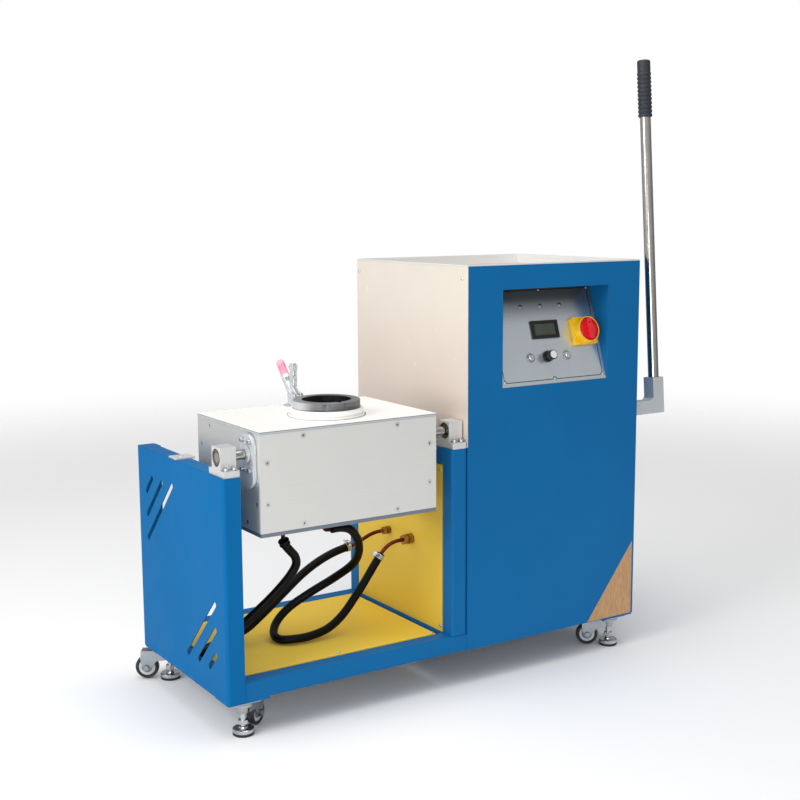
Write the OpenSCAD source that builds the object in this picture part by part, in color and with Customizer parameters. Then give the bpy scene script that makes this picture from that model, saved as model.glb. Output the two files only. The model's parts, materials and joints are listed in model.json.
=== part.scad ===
// Tilting electric furnace for melting gold.
// A welded tube frame carries an induction-heated furnace box between two bearing blocks.
// The cabinet beside it holds the generator, and a lever on the right tilts the box to pour.

/* [Frame] */
// Length of the welded frame from its left end to its right end
frame_l = 1100; // [1000:10:1350]
// Depth of the welded frame from front to back
frame_d = 450; // [380:5:560]
// Height of the two bay portals above the underside of the frame
portal_h = 470; // [390:5:570]
// Distance from the left end of the frame to the middle portal
bay_l = 555; // [540:5:660]
// Outer width of the square frame tube
tube_w = 40; // [34:1:46]
// Radius along the edges of the frame tube
tube_r = 5; // [3:0.5:6]
// Height of the underside of the frame above the floor
frame_z = 82; // [80:1:98]
// Thickness of the plate under each corner of the frame
corner_plate_t = 4; // [3:0.5:5]

/* [Cabinet] */
// Height of the cabinet above the underside of the frame
cabinet_h = 875; // [820:5:1050]
// How far the cabinet stands out behind the frame
cabinet_back = 20; // [17:1:30]
// Width of the square tube inside the cabinet
cabinet_tube_w = 20; // [17:1:24]
// Thickness of the sheet panels
sheet_t = 1.5; // [1.2:0.1:2]
// Depth of the top tray below its rim
tray_depth = 24; // [20:1:32]
// Width of the flat rim round the top tray
tray_rim_w = 7; // [6:0.5:10]

/* [Controls] */
// Width of the control recess
recess_w = 312; // [290:2:340]
// Height of the control recess on the cabinet front
recess_h = 222; // [190:2:266]
// Distance from the left side of the cabinet to the recess
recess_from_left = 97; // [80:1:116]
// Height of the lower edge of the recess above the underside of the frame
recess_up = 596; // [570:2:620]
// Slope of the control plate from the upright
control_tilt = 18; // [15:1:21]
// Thickness of the control plate
control_plate_t = 2; // [1.5:0.5:3]
// Width and height of the square mounting plate of the main switch
switch_plate_w = 66; // [55:1:70]
// Diameter of the main switch handle
switch_handle_d = 58; // [48:1:62]
// Diameter of the two push buttons
button_d = 20; // [17:1:24]
// Diameter of the power knob
knob_d = 22; // [18:1:26]

/* [Furnace box] */
// Length of the furnace box along the tilt axis
box_l = 428; // [360:2:440]
// Depth of the furnace box from front to back
box_d = 300; // [280:2:360]
// Height of the furnace box without its base plate and top board
box_h = 204; // [196:2:244]
// How far the front of the box stands out in front of the frame
box_proud = 7; // [2:1:9]
// Thickness of the front plate of the box
box_front_t = 6; // [5:0.5:8]
// Thickness of the folded sides and back of the box
box_shell_t = 4; // [3:0.5:5]
// Thickness of the base plate of the box
box_base_t = 8; // [6:0.5:10]
// Thickness of the white top board
top_board_t = 6; // [5:0.5:8]
// Distance from the tilt axis down to the base plate
box_drop = 160; // [152:2:170]

/* [Crucible and coil] */
// Distance from the left side of the box to the crucible centre
crucible_from_left = 221; // [180:1:250]
// Distance from the front of the box to the crucible centre
crucible_from_front = 117; // [112:1:140]
// Outer diameter of the crucible rim
rim_d = 146; // [136:1:152]
// Height of the crucible rim
rim_h = 17.5; // [14:0.5:22]
// Inner diameter of the crucible
crucible_bore_d = 106; // [88:1:110]
// Wall thickness of the crucible below its rim
crucible_wall = 10; // [8:0.5:12]
// Depth of the crucible inside
crucible_depth = 150; // [125:1:160]
// Height of the white refractory collar above the top board
collar_h = 17; // [14:0.5:22]
// Wall thickness of the refractory sleeve
sleeve_wall = 11; // [9:0.5:12]
// Outer diameter of the coil tube
coil_tube_d = 10; // [8:0.5:11]
// Rise of the coil from one turn to the next
coil_pitch = 15; // [14:0.5:18]
// Number of full turns of the coil, before the part turn that lines up its leads
coil_turns = 7; // [5:1:8]

/* [Tilt axis] */
// Distance from the front of the frame back to the tilt axis
axis_y = 35; // [33:1:42]
// Height of the tilt axis above the portals
axis_h = 38; // [34:1:46]
// Diameter of the tilt shafts
shaft_d = 20; // [17:1:22]
// Outer diameter of the ball bearings
bearing_d = 37; // [34:1:40]
// Width of each ball bearing
bearing_w = 9; // [7:0.5:11]
// Length of a bearing block along the tilt axis
block_l = 35; // [31:1:38]
// Distance from the outer side of the frame tube to the bearing block on it
block_inset = 2.5; // [1:0.5:4]
// Length of a bearing block's foot along the frame depth
block_foot_l = 70; // [68:1:84]
// Thickness of a bearing block's foot
block_foot_t = 14; // [11:0.5:16]
// Height of a bearing block above the tilt axis
block_crown = 22; // [20.5:0.5:27]

/* [Lever] */
// Distance from the cabinet to the outer side of the crank block
crank_reach = 112; // [94:1:134]
// Width of the crank block's upright
crank_w = 34; // [29:1:40]
// Height of the crank block's arm
crank_arm_h = 33; // [28:1:37]
// Height of the crank block above the tilt axis
crank_h = 72; // [62:1:86]
// Outer diameter of the lever tube
lever_d = 26; // [22:1:29]
// Length from the tilt axis to the end of the lever grip
lever_l = 847; // [710:5:1010]
// Length of the lever grip
grip_l = 137; // [115:1:164]
// Backward lean of the lever at rest
lever_lean = 4.5; // [3.5:0.5:6]

/* [Toggle clamp] */
// Length of the clamp bar from its pivot to its spindle
clamp_bar_l = 64; // [58:1:68]
// Length of the clamp handle from its pivot
clamp_handle_l = 98; // [82:1:116]
// Distance from the crucible centre back to the pivot of the clamp bar
clamp_back = 130; // [124:1:134]

/* [Casters] */
// Diameter of the caster wheels
wheel_d = 54; // [45:1:56]
// Width of the caster wheels
wheel_w = 18; // [15:1:22]
// Distance from the swivel axis to the wheel axle
caster_trail = 53; // [52:1:63]
// Diameter of the levelling foot
pad_d = 45; // [38:1:46]
// Distance from the frame's ends to the swivel axes
foot_inset_x = 47; // [40:1:54]
// Distance from the frame's front and back to the swivel axes
foot_inset_y = 32; // [30:1:38]

/* [Hoses] */
// Outer diameter of the water hoses
hose_d = 19; // [16:1:21]

/* [Hidden] */

$fn = 48;

// Gap between pieces that are only laid or screwed together
seam = 0.3;
// Radial clearance of a turning shaft
run_fit = 0.05;
// Length by which a cutter passes the face that it cuts
cut = 1;

// Levels and places in the machine's own frame: x from the left end, y from the front, z from the floor
frame_top = frame_z + tube_w;
portal_top = frame_z + portal_h;
cabinet_top = frame_z + cabinet_h;
cabinet_x = bay_l + tube_w;
cabinet_l = frame_l - cabinet_x;
cabinet_d = frame_d + cabinet_back;
axis_z = portal_top + axis_h;
portal_gap = frame_d - 2 * tube_w;

blue = "#1467a3";
yellow = "#c8a841";
pale = "#d9dadb";
steel = "#b9bcc0";
dark = "#2b2f33";

// Furnace box
box_x = tube_w + (bay_l - tube_w - box_l) / 2 - 4.5;
box_y = -box_proud;
box_z = axis_z - box_drop;
board_z = box_z + box_h;
board_top = board_z + top_board_t;
crucible_x = box_x + crucible_from_left;
crucible_y = box_y + crucible_from_front;
rim_z = board_top + collar_h + seam;
rim_top = rim_z + rim_h;
body_r = crucible_bore_d / 2 + crucible_wall;
crucible_z = rim_top - crucible_depth - crucible_wall;
sleeve_in_r = body_r + 1;
sleeve_r = sleeve_in_r + sleeve_wall;
collar_r = sleeve_r + 5;

// Slope of the control plate
recess_x = cabinet_x + recess_from_left;
recess_z = frame_z + recess_up;
recess_depth = recess_h * tan(control_tilt);
plate_l = recess_h / cos(control_tilt);
control_mid = recess_w / 2;
control_row = 64;
switch_at = [recess_w - 50.5, 0.5 * plate_l];
start_at = [control_mid - 60, control_row];
stop_at = [control_mid + 48, control_row];
knob_at = [control_mid - 10, control_row];
lamp_x = [control_mid - 62, control_mid - 4, control_mid + 54];
lamp_u = 184;
display_at = [control_mid - 4, 128];
display_size = [79, 42];

// Casters: swivel axes and the way each wheel trails
caster_at = [[foot_inset_x, foot_inset_y], [frame_l - foot_inset_x, foot_inset_y],
    [foot_inset_x, frame_d - foot_inset_y], [frame_l - foot_inset_x, frame_d - foot_inset_y]];
caster_turn = [35, 147, 147, 25];
caster_plate_z = frame_z - corner_plate_t;
fork_top = caster_plate_z - 9;
stem_d = 12;
wheel_lift = 1.5;
axle_z = wheel_d / 2 + wheel_lift;
axle_d = 8;

// Origin of the finished model: middle of its box, on the floor
left_reach = foot_inset_x - caster_trail * cos(180 - caster_turn[2])
    - wheel_d / 2 * cos(180 - caster_turn[2]) - wheel_w / 2 * sin(180 - caster_turn[2]);
right_reach = frame_l + crank_reach;
front_reach = box_y - 0.5;
back_reach = cabinet_d + 30;
origin = [(left_reach + right_reach) / 2, (front_reach + back_reach) / 2, 0];

// Screw heads and other small hardware
screw_d = 5;
screw_head_d = 11;
block_bolt_d = 6;

// Moves a piece from the machine's own frame to the model's origin
module placed() {
    translate(-origin) children();
}

// Rounded square outline of a tube
module tube_outline(w, r) {
    for (x = [r, w - r], y = [r, w - r]) translate([x, y]) circle(r);
    translate([r, 0]) square([w - 2 * r, w]);
    translate([0, r]) square([w, w - 2 * r]);
}

// Tubes along the three directions, starting at the corner p
module tube_x(p, l, w = tube_w, r = tube_r) {
    translate(p) rotate([90, 0, 90]) linear_extrude(l) tube_outline(w, r);
}
module tube_y(p, l, w = tube_w, r = tube_r) {
    translate([p[0], p[1] + l, p[2]]) rotate([90, 0, 0]) linear_extrude(l) tube_outline(w, r);
}
module tube_z(p, l, w = tube_w, r = tube_r) {
    translate(p) linear_extrude(l) tube_outline(w, r);
}

// Cylinder along x that starts at p
module rod_x(p, d, l) {
    translate(p) rotate([0, 90, 0]) cylinder(h = l, d = d);
}

// Cylinder along y that starts at p
module rod_y(p, d, l) {
    translate(p) rotate([-90, 0, 0]) cylinder(h = l, d = d);
}

// Ring between two radii
module ring(r_out, r_in, h) {
    difference() {
        cylinder(h = h, r = r_out);
        translate([0, 0, -cut]) cylinder(h = h + 2 * cut, r = r_in);
    }
}

// Regular hexagon prism across its flats
module hexagon(flats, h) {
    cylinder(h = h, d = flats / cos(30), $fn = 6);
}

// Button-head screw that stands on z = 0 with its shank below
module button_screw(d = screw_d, shank = 6) {
    rotate_extrude() polygon([[0, 0.5 * d], [0.45 * d, 0.42 * d], [0.8 * d, 0.2 * d], [0.9 * d, 0],
        [d / 2, 0], [d / 2, -shank], [0, -shank]]);
}

// Socket-head bolt that stands on z = 0 with its shank below
module socket_bolt(d, shank) {
    difference() {
        union() {
            cylinder(h = d, d = 1.6 * d);
            translate([0, 0, -shank]) cylinder(h = shank + cut, d = d);
        }
        translate([0, 0, 0.45 * d]) hexagon(0.75 * d, d);
    }
}

// Points of a smooth curve through a list of route points, with n steps between each pair
function spline_at(a, b, c, d, t) = 0.5 * (2 * b + (c - a) * t
    + (2 * a - 5 * b + 4 * c - d) * t * t + (3 * b - 3 * c + d - a) * t * t * t);
function spline(p, n) = let (m = len(p) - 1) concat([for (i = [0 : m - 1], k = [0 : n - 1])
    spline_at(p[max(i - 1, 0)], p[i], p[i + 1], p[min(i + 2, m)], k / n)], [p[m]]);

// Unit vector and the side vectors of a ring that is carried along a route
function unit(v) = v / norm(v);
function tangent(p, i) = unit(p[min(i + 1, len(p) - 1)] - p[max(i - 1, 0)]);
function carry(u, t) = unit(u - (u * t) * t);
function sides(p, u, i = 0) = i == len(p) ? [] :
    let (v = carry(u, tangent(p, i))) concat([v], sides(p, v, i + 1));

// Round tube swept along the points p, as one closed solid with flat ends
module swept(p, r, n, first, start, end) {
    t = [for (i = [0 : len(p) - 1]) i == 0 ? start : i == len(p) - 1 ? end : tangent(p, i)];
    s = sides(p, first);
    u = [for (i = [0 : len(p) - 1]) carry(s[i], t[i])];
    points = [for (i = [0 : len(p) - 1], k = [0 : n - 1]) let (a = 360 * k / n)
        p[i] + r * (cos(a) * u[i] + sin(a) * cross(t[i], u[i]))];
    last = (len(p) - 1) * n;
    faces = concat(
        [for (i = [0 : len(p) - 2], k = [0 : n - 1]) let (a = i * n + k, b = i * n + (k + 1) % n)
            [a, a + n, b]],
        [for (i = [0 : len(p) - 2], k = [0 : n - 1]) let (a = i * n + k, b = i * n + (k + 1) % n)
            [b, a + n, b + n]],
        [for (k = [1 : n - 2]) [0, k, k + 1]],
        [for (k = [1 : n - 2]) [last, last + k + 1, last + k]]);
    polyhedron(points, faces);
}

// Bottom of the frame: two long rails, three cross rails and a plate under each corner
module base_rails() {
    color(blue) difference() {
        union() {
            for (y = [0, frame_d - tube_w]) tube_x([0, y, frame_z], frame_l);
            for (x = [0, bay_l, frame_l - tube_w])
                tube_y([x, tube_w - tube_r, frame_z], portal_gap + 2 * tube_r);
            for (x = [0, frame_l - 2 * foot_inset_x], y = [0, frame_d - 2 * foot_inset_y])
                translate([x, y, caster_plate_z])
                    cube([2 * foot_inset_x, 2 * foot_inset_y, corner_plate_t + tube_r]);
        }
        for (side = [0, 1]) translate([0, side * frame_d, caster_plate_z - cut]) mirror([0, side, 0])
            linear_extrude(tube_w + corner_plate_t + 2 * cut) difference() {
                translate([-cut, -cut]) square(tube_r + cut);
                translate([tube_r, tube_r]) circle(tube_r);
            }
    }
}

// Portal across the frame: two posts and the rail on them
module portal(x) {
    color(blue) {
        for (y = [0, frame_d - tube_w]) tube_z([x, y, frame_top], portal_h - tube_w);
        tube_y([x, tube_w / 2, portal_top - tube_w], portal_gap + tube_w);
    }
}

// Frame inside the cabinet: four posts and a ring under the tray
module cabinet_frame() {
    w = cabinet_tube_w;
    top = cabinet_top - tray_depth - sheet_t - seam;
    left = cabinet_x + sheet_t + seam;
    color(blue) difference() {
        union() {
            for (x = [left, frame_l - w], y = [0, frame_d - w])
                tube_z([x, y, frame_top + seam], top - frame_top - seam, w, 2);
            for (y = [0, frame_d - w]) tube_x([left + w - 2, y, top - w], frame_l - left - 2 * w + 4, w, 2);
            for (x = [left, frame_l - w]) tube_y([x, w - 2, top - w], frame_d - 2 * w + 4, w, 2);
        }
        panel_screw_places() screw_hole();
    }
}

// One slanted slot with round ends, cut between two points of the end panel
module slot(a, b, w) {
    d = b - a;
    l = norm(d);
    translate([0, a[0], a[1]]) rotate([atan2(d[1], d[0]), 0, 0]) rotate([0, 90, 0]) {
        translate([0, 0, -10]) linear_extrude(20) {
            circle(d = w);
            translate([0, l]) circle(d = w);
            translate([-w / 2, 0]) square([w, l]);
        }
    }
}

// Left end panel: a sheet folded round both posts, with two groups of three slots
module end_panel() {
    t = 2;
    color(blue) difference() {
        translate([0, 0, frame_z]) linear_extrude(portal_h) difference() {
            folded_outline(t);
            folded_outline(0, cut);
        }
        for (side = [0, 1]) mirror_slots(side) for (k = [0 : 2]) {
            low = [slot_corner[0], slot_corner[1] - k * slot_step];
            high = low + [-slot_run[k], slot_rise[k]];
            slot(low, high, slot_w);
        }
    }
}
module folded_outline(t, over = 0) {
    r = tube_r + t;
    for (y = [tube_r, frame_d - tube_r]) translate([tube_r, y]) circle(r);
    translate([-t, tube_r]) square([r + t, frame_d - 2 * tube_r]);
    translate([tube_r, -t]) square([tube_w - 2 - tube_r + over, frame_d + 2 * t]);
}
slot_w = 12;
slot_corner = [frame_d - 50, portal_top - 96];
slot_step = 54;
slot_run = [32, 86, 143];
slot_rise = [33, 87, 144];

// The lower group of slots is the upper one turned half a turn about the panel's middle
module mirror_slots(side) {
    middle = [0, frame_d / 2, frame_z + portal_h / 2 - 2];
    translate(side * middle) rotate([side * 180, 0, 0]) translate(-side * middle) children();
}

// Yellow floor of the bay: a sheet with its edges folded down between the rails
module floor_panel() {
    l = bay_l - tube_w - 18;
    color(yellow) difference() {
        folded_sheet([tube_w + 0.5, tube_w + 0.5, frame_top - sheet_t], [l, portal_gap - 1, sheet_t]);
        panel_screw_places() screw_hole();
    }
}

// Yellow wall of the bay: a sheet with its edges folded back between the posts
module bay_wall() {
    h = portal_h - 2 * tube_w - 1;
    color(yellow) difference() {
        translate([bay_l + 2.5, tube_w + 0.5, frame_top + 0.5]) rotate([0, -90, 0])
            folded_sheet([0, 0, 0], [h, portal_gap - 1, sheet_t]);
        for (y = port_y) rod_x([bay_l - cut, y, port_z], port_thread_d + 1, 10);
        panel_screw_places() screw_hole();
    }
}

// Sheet with four edges folded back by a lip
module folded_sheet(p, size) {
    lip = 18;
    translate(p) difference() {
        translate([0, 0, -lip + size[2]]) cube([size[0], size[1], lip]);
        translate([sheet_t, sheet_t, -lip - cut + size[2]])
            cube([size[0] - 2 * sheet_t, size[1] - 2 * sheet_t, lip + cut - size[2]]);
    }
}

// Small plate on the end portal behind the bearing block
module stop_plate() {
    color(pale) difference() {
        translate([0, stop_plate_y - 20, portal_top]) cube([tube_w + 4, 40, stop_plate_t]);
        translate([tube_w / 2, stop_plate_y, portal_top - cut]) cylinder(h = 10, d = screw_d + 0.4);
    }
}
stop_plate_y = 0.56 * frame_d;
stop_plate_t = 4;

// Bearing block: foot with four bolt holes, upright with a stepped bore
module bearing_block(x) {
    difference() {
        union() {
            translate([block_left(x), block_foot_y, portal_top]) cube([block_l, block_foot_l, block_foot_t]);
            translate([block_left(x), axis_y - block_w / 2, portal_top])
                cube([block_l, block_w, axis_h + block_crown]);
        }
        rod_x([block_left(x) - cut, axis_y, axis_z], bearing_d - 5, block_l + 2 * cut);
        for (dx = [-cut, block_l - bearing_w - 2])
            rod_x([block_left(x) + dx, axis_y, axis_z], bearing_d, bearing_w + 2 + cut);
        block_bolts(x) translate([0, 0, -block_foot_t - cut])
            cylinder(h = block_foot_t + 2 * cut, d = block_bolt_d + 0.4);
    }
}
module block_bolts(x) {
    front = (block_foot_y + axis_y - block_w / 2) / 2;
    back = (block_foot_y + block_foot_l + axis_y + block_w / 2) / 2;
    for (dx = [-9, 9], y = [front, back])
        translate([block_left(x) + block_l / 2 + dx, y, portal_top + block_foot_t]) children();
}
block_w = bearing_d + 3;
block_foot_y = axis_y - block_foot_l / 2;
// Left side of the bearing block on the portal at x: each block keeps to the outer side of its tube
function block_left(x) = x == 0 ? block_inset : x + tube_w - block_inset - block_l;
module bearing_blocks() {
    color(pale) for (x = [0, bay_l]) bearing_block(x);
}

// Sealed ball bearing: outer ring, inner ring and a set-back shield between them
module bearing(x) {
    low = shaft_d / 2 + run_fit;
    high = bearing_d / 2;
    t = 0.22 * (high - low);
    translate([x, axis_y, axis_z]) rotate([0, 90, 0]) rotate_extrude() polygon([
        [low, 0], [low + t, 0], [low + t, 0.8], [high - t, 0.8], [high - t, 0], [high, 0],
        [high, bearing_w], [high - t, bearing_w], [high - t, bearing_w - 0.8], [low + t, bearing_w - 0.8],
        [low + t, bearing_w], [low, bearing_w]]);
}
module bearings() {
    color(steel) for (x = [0, bay_l], dx = [2, block_l - bearing_w - 2]) bearing(block_left(x) + dx);
}

// Bolts of the bearing blocks and the small screws of the panels
module frame_screws() {
    color(steel) {
        for (x = [0, bay_l]) block_bolts(x) socket_bolt(block_bolt_d, block_foot_t);
        translate([tube_w / 2, stop_plate_y, portal_top + stop_plate_t]) button_screw(screw_d, stop_plate_t);
        panel_screw_places() button_screw(screw_d, 4);
        control_screws() button_screw(3.5, 6);
    }
}

// Places of the screws in the bay sheets and in the left cabinet panel
module panel_screw_places() {
    for (x = [0.52, 0.96], y = [tube_w + 10, frame_d - tube_w - 10])
        translate([x * bay_l, y, frame_top + seam]) children();
    for (y = [tube_w + 8, frame_d - tube_w - 8], z = [frame_top + 14, portal_top - tube_w - 14])
        translate([bay_l + 2.5 - sheet_t - seam, y, z]) rotate([0, -90, 0]) children();
    for (y = [20, cabinet_d - 12])
        translate([cabinet_x - seam, y, cabinet_top - 30]) rotate([0, -90, 0]) children();
}

module screw_hole() {
    translate([0, 0, -7]) cylinder(h = 8, d = screw_d + 0.4);
}

// Moves children onto the control plate: x along it, y up the slope, z out of it
module on_control(at) {
    translate([recess_x, 0, recess_z]) rotate([90 - control_tilt, 0, 0])
        translate([at[0], at[1], 0]) children();
}
module control_screws() {
    for (x = [10, control_mid, recess_w - 10], u = [10, plate_l - 10]) on_control([x, u]) children();
}

// Cabinet front: a flat sheet with the recess opening
module front_panel() {
    color(blue) difference() {
        translate([cabinet_x + sheet_t + seam, -sheet_t, frame_z])
            cube([cabinet_l - sheet_t - seam, sheet_t, cabinet_h - 3]);
        translate([recess_x, -sheet_t - cut, recess_z]) cube([recess_w, sheet_t + 2 * cut, recess_h]);
    }
}

// Wedge-shaped box behind the opening: two cheeks and a roof
module control_recess() {
    t = sheet_t;
    color(blue) difference() {
        recess_wedge(t, 0);
        recess_wedge(0, cut);
    }
}
module recess_wedge(t, over) {
    drop = control_plate_t + 1;
    translate([recess_x - t, 0, recess_z]) rotate([90, 0, 90]) linear_extrude(recess_w + 2 * t)
        polygon([[-over, -over], [-over, recess_h + t], [recess_depth + drop + over, recess_h + t],
            [drop + over, -over]]);
}

// Sloped control plate with the openings for its instruments
module control_plate() {
    t = control_plate_t;
    color(steel) difference() {
        on_control([seam, seam]) translate([0, 0, -t]) cube([recess_w - 2 * seam, plate_l - 2 * seam, t]);
        on_control(display_at - display_size / 2 + [3, 3]) translate([0, 0, -t - cut])
            cube([display_size[0] - 6, display_size[1] - 6, t + 2 * cut]);
        for (at = [start_at, stop_at]) on_control(at) hole(button_d - 4);
        on_control(knob_at) hole(8);
        on_control(switch_at) hole(16);
        for (x = lamp_x) on_control([x, lamp_u]) hole(8);
        control_screws() hole(4);
    }
}
module hole(d) {
    translate([0, 0, -control_plate_t - cut]) cylinder(h = control_plate_t + 2 * cut, d = d);
}

// Left side of the cabinet: bare sheet with its front edge folded over
module left_panel() {
    z = portal_top + seam;
    color("#d8d2c8") difference() {
        translate([cabinet_x, -sheet_t, z]) cube([sheet_t, cabinet_d, cabinet_top - 3 - z]);
        rod_x([cabinet_x - cut, axis_y, axis_z], shaft_d + 6, 10);
        panel_screw_places() screw_hole();
    }
}

// Right side of the cabinet with a clearance hole for the shaft
module right_panel() {
    color(blue) difference() {
        translate([frame_l, -sheet_t, frame_z]) cube([sheet_t, cabinet_d, cabinet_h - 3]);
        rod_x([frame_l - cut, axis_y, axis_z], shaft_d + 10, 10);
    }
}

// Rear cover: a shallow pan behind the frame with rows of louvres
module rear_panel() {
    t = sheet_t;
    x = cabinet_x + t + seam;
    l = cabinet_l - t - 2 * seam;
    h = cabinet_h - 3;
    back = cabinet_d - t;
    color(blue) {
        difference() {
            translate([x, frame_d + seam, frame_z]) cube([l, back - frame_d - seam, h]);
            translate([x + t, frame_d, frame_z + t]) cube([l - 2 * t, back - t - frame_d, h]);
            louvres() translate([2, -4 * t, 0]) cube([louvre_l - 4, 8 * t, 8]);
            for (at = inlet_at) rod_y([at[0], back - 4, at[1]], at[2], 6);
            panel_screw_places() screw_hole();
        }
        louvres() rotate([90, 0, 90]) linear_extrude(louvre_l)
            polygon([[-1, 10], [0, 10], [5, 3], [5, 1.5], [0, 8.5], [-1, 8.5]]);
    }
}
module louvres() {
    for (x = louvre_x, k = [0 : louvre_n - 1])
        translate([x - louvre_l / 2, cabinet_d - sheet_t, louvre_z + k * louvre_step]) children();
}
louvre_n = 7;
louvre_l = 130;
louvre_step = 20;
louvre_z = frame_z + 0.55 * cabinet_h;
louvre_x = [cabinet_x + 0.3 * cabinet_l, cabinet_x + 0.7 * cabinet_l];

// Water and mains inlets at the back: x, z and hole diameter of each
inlet_z = frame_z + 110;
inlet_at = [[cabinet_x + 100, inlet_z, 17], [cabinet_x + 170, inlet_z, 17], [frame_l - 110, inlet_z, 25]];

// Top tray with a raised flat rim
module top_tray() {
    x = cabinet_x;
    y = -sheet_t;
    z = cabinet_top - 3 + seam;
    l = cabinet_l + sheet_t;
    d = cabinet_d;
    rim = tray_rim_w;
    color(steel) difference() {
        union() {
            translate([x, y, z]) cube([l, d, 3 - seam]);
            translate([x + rim - sheet_t + 2, y + rim - sheet_t + 2, cabinet_top - tray_depth - sheet_t])
                cube([l - 2 * rim + 2 * sheet_t - 4, d - 2 * rim + 2 * sheet_t - 4, tray_depth]);
        }
        translate([x + rim + 2, y + rim + 2, cabinet_top - tray_depth])
            cube([l - 2 * rim - 4, d - 2 * rim - 4, tray_depth + cut]);
    }
}

// Panel meter: bezel, window frame and the body behind the plate
module display() {
    w = display_size[0];
    h = display_size[1];
    color(dark) on_control(display_at) difference() {
        union() {
            translate([-w / 2, -h / 2, 0]) cube([w, h, 4]);
            translate([-w / 2 + 4, -h / 2 + 4, -28]) cube([w - 8, h - 8, 29]);
        }
        translate([-w / 2 + 8, -h / 2 + 7, 2]) cube([w - 16, h - 14, 4]);
    }
}

// Bezels of the three lamps with their lenses, and the rings of the push buttons
module panel_bezels() {
    color(steel) {
        for (x = lamp_x) on_control([x, lamp_u]) rotate_extrude()
            polygon([[0, -14], [3.6, -14], [3.6, 0], [5.5, 0], [5, 1.5], [3, 2], [2.6, 3.4], [0, 4]]);
        for (at = [start_at, stop_at]) on_control(at) rotate_extrude() polygon([
            [button_d / 2 - 2.6, 0], [button_d / 2 + 1, 0], [button_d / 2, 2.5], [button_d / 2 - 2.6, 3]]);
    }
}

// Mounting plate of the main switch with its round collar and the body behind the plate
module switch_plate() {
    w = switch_plate_w;
    color("#f2b90f") on_control(switch_at) difference() {
        union() {
            translate([-w / 2, -w / 2, 0]) linear_extrude(switch_plate_t) tube_outline(w, 5);
            cylinder(h = switch_collar_h, d1 = switch_handle_d + 5, d2 = switch_handle_d + 2);
            translate([0, 0, -40]) cylinder(h = 41, d = 15);
        }
        translate([0, 0, switch_plate_t + 1]) cylinder(h = 50, d = switch_handle_d - 5);
        translate([0, 0, -41]) cylinder(h = 80, d = switch_shaft_d);
    }
}
switch_plate_t = 13;
switch_collar_h = 30;
switch_shaft_d = 8;

// Red handle of the main switch with its grip ridge
module main_switch() {
    r = (switch_handle_d - 6) / 2;
    low = switch_plate_t + 1.5;
    high = switch_collar_h + 6;
    color("#d8121f") on_control(switch_at) difference() {
        union() {
            translate([0, 0, low]) cylinder(h = switch_collar_h - 4 - low, r = r);
            intersection() {
                translate([-7, -r, low]) cube([14, 2 * r, high - low]);
                translate([0, 0, low]) cylinder(h = 40, r1 = r, r2 = r - 3);
            }
            translate([0, 0, -36]) cylinder(h = 36 + low + 2, r = switch_shaft_d / 2 - run_fit);
        }
        translate([0, 0.55 * r, high - 4]) cylinder(h = 20, d = 4);
    }
}

// Power knob: fluted skirt, cap and its shaft
module power_knob() {
    color(dark) on_control(knob_at) difference() {
        union() {
            translate([0, 0, 1]) cylinder(h = 5, d = knob_d + 4);
            translate([0, 0, 5.5]) cylinder(h = 18, d = knob_d);
            translate([0, 0, 23]) cylinder(h = 1.5, d = knob_d - 4);
            translate([0, 0, -12]) cylinder(h = 14, d = 6);
        }
        for (a = [0 : 30 : 330]) rotate(a) translate([knob_d / 2 + 0.8, 0, 6.5]) cylinder(h = 20, d = 3);
    }
}

// Push button with its stem through the plate
module push_button(at) {
    color(steel) on_control(at) {
        rotate_extrude() polygon([[0, -16], [6, -16], [6, 0], [button_d / 2 - 3, 0],
            [button_d / 2 - 3, 5], [button_d / 2 - 4, 6], [0, 5.6]]);
    }
}
module start_button() { push_button(start_at); }
module stop_button() { push_button(stop_at); }

// Generator: base plate on the rails, finned case, feet and its fan
module generator() {
    x = cabinet_x + 200;
    y = 70;
    l = frame_l - 50 - x;
    d = frame_d - 140;
    h = 0.55 * portal_h;
    color("#8f9397") {
        difference() {
            union() {
                translate([cabinet_x + 25, 15, frame_top]) cube([cabinet_l - 50, frame_d - 30, 3]);
                translate([x, y, frame_top]) cube([l, d, h]);
                for (k = [0 : 11]) translate([x + 12 + k * (l - 27) / 11, y - 12, frame_top + 25])
                    cube([3, 14, h - 50]);
            }
            translate([x + l / 2, y + d / 2, frame_top + h - 4]) ring(60, 20, 10);
        }
    }
}

// Output transformer: core, winding and the two terminal bars towards the bay
module transformer() {
    x = cabinet_x + 45;
    y = 120;
    z = frame_top + 3;
    color("#6b4a2f") {
        difference() {
            translate([x, y, z]) cube([90, 180, 150]);
            translate([x - cut, y + 45, z + 35]) cube([90 + 2 * cut, 90, 80]);
        }
        translate([x + 45, y + 22, z + 75]) difference() {
            translate([-58, -32, -38]) cube([116, 64, 76]);
            translate([-45, -22 - cut, -75]) cube([90, 45 + cut, 150]);
        }
    }
}

// Route of the supply hose from the box to the bay wall, resting on the floor panel
supply_route = [[168, 70, 389], [174, 71, 376], [187, 74, 361], [200, 78, 346], [204, 82, 327],
    [194, 86, 307], [176, 92, 284], [154, 98, 261], [127, 104, 237], [95, 110, 211], [64, 118, 185],
    [38, 134, 161], [23, 158, 144], [26, 187, 136], [48, 207, 134], [80, 214, 138], [116, 215, 146],
    [150, 216, 158], [186, 220, 179], [226, 226, 204], [266, 232, 230], [304, 238, 253],
    [348, 244, 273], [394, 249, 287], [440, 252, 295]];

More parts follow.
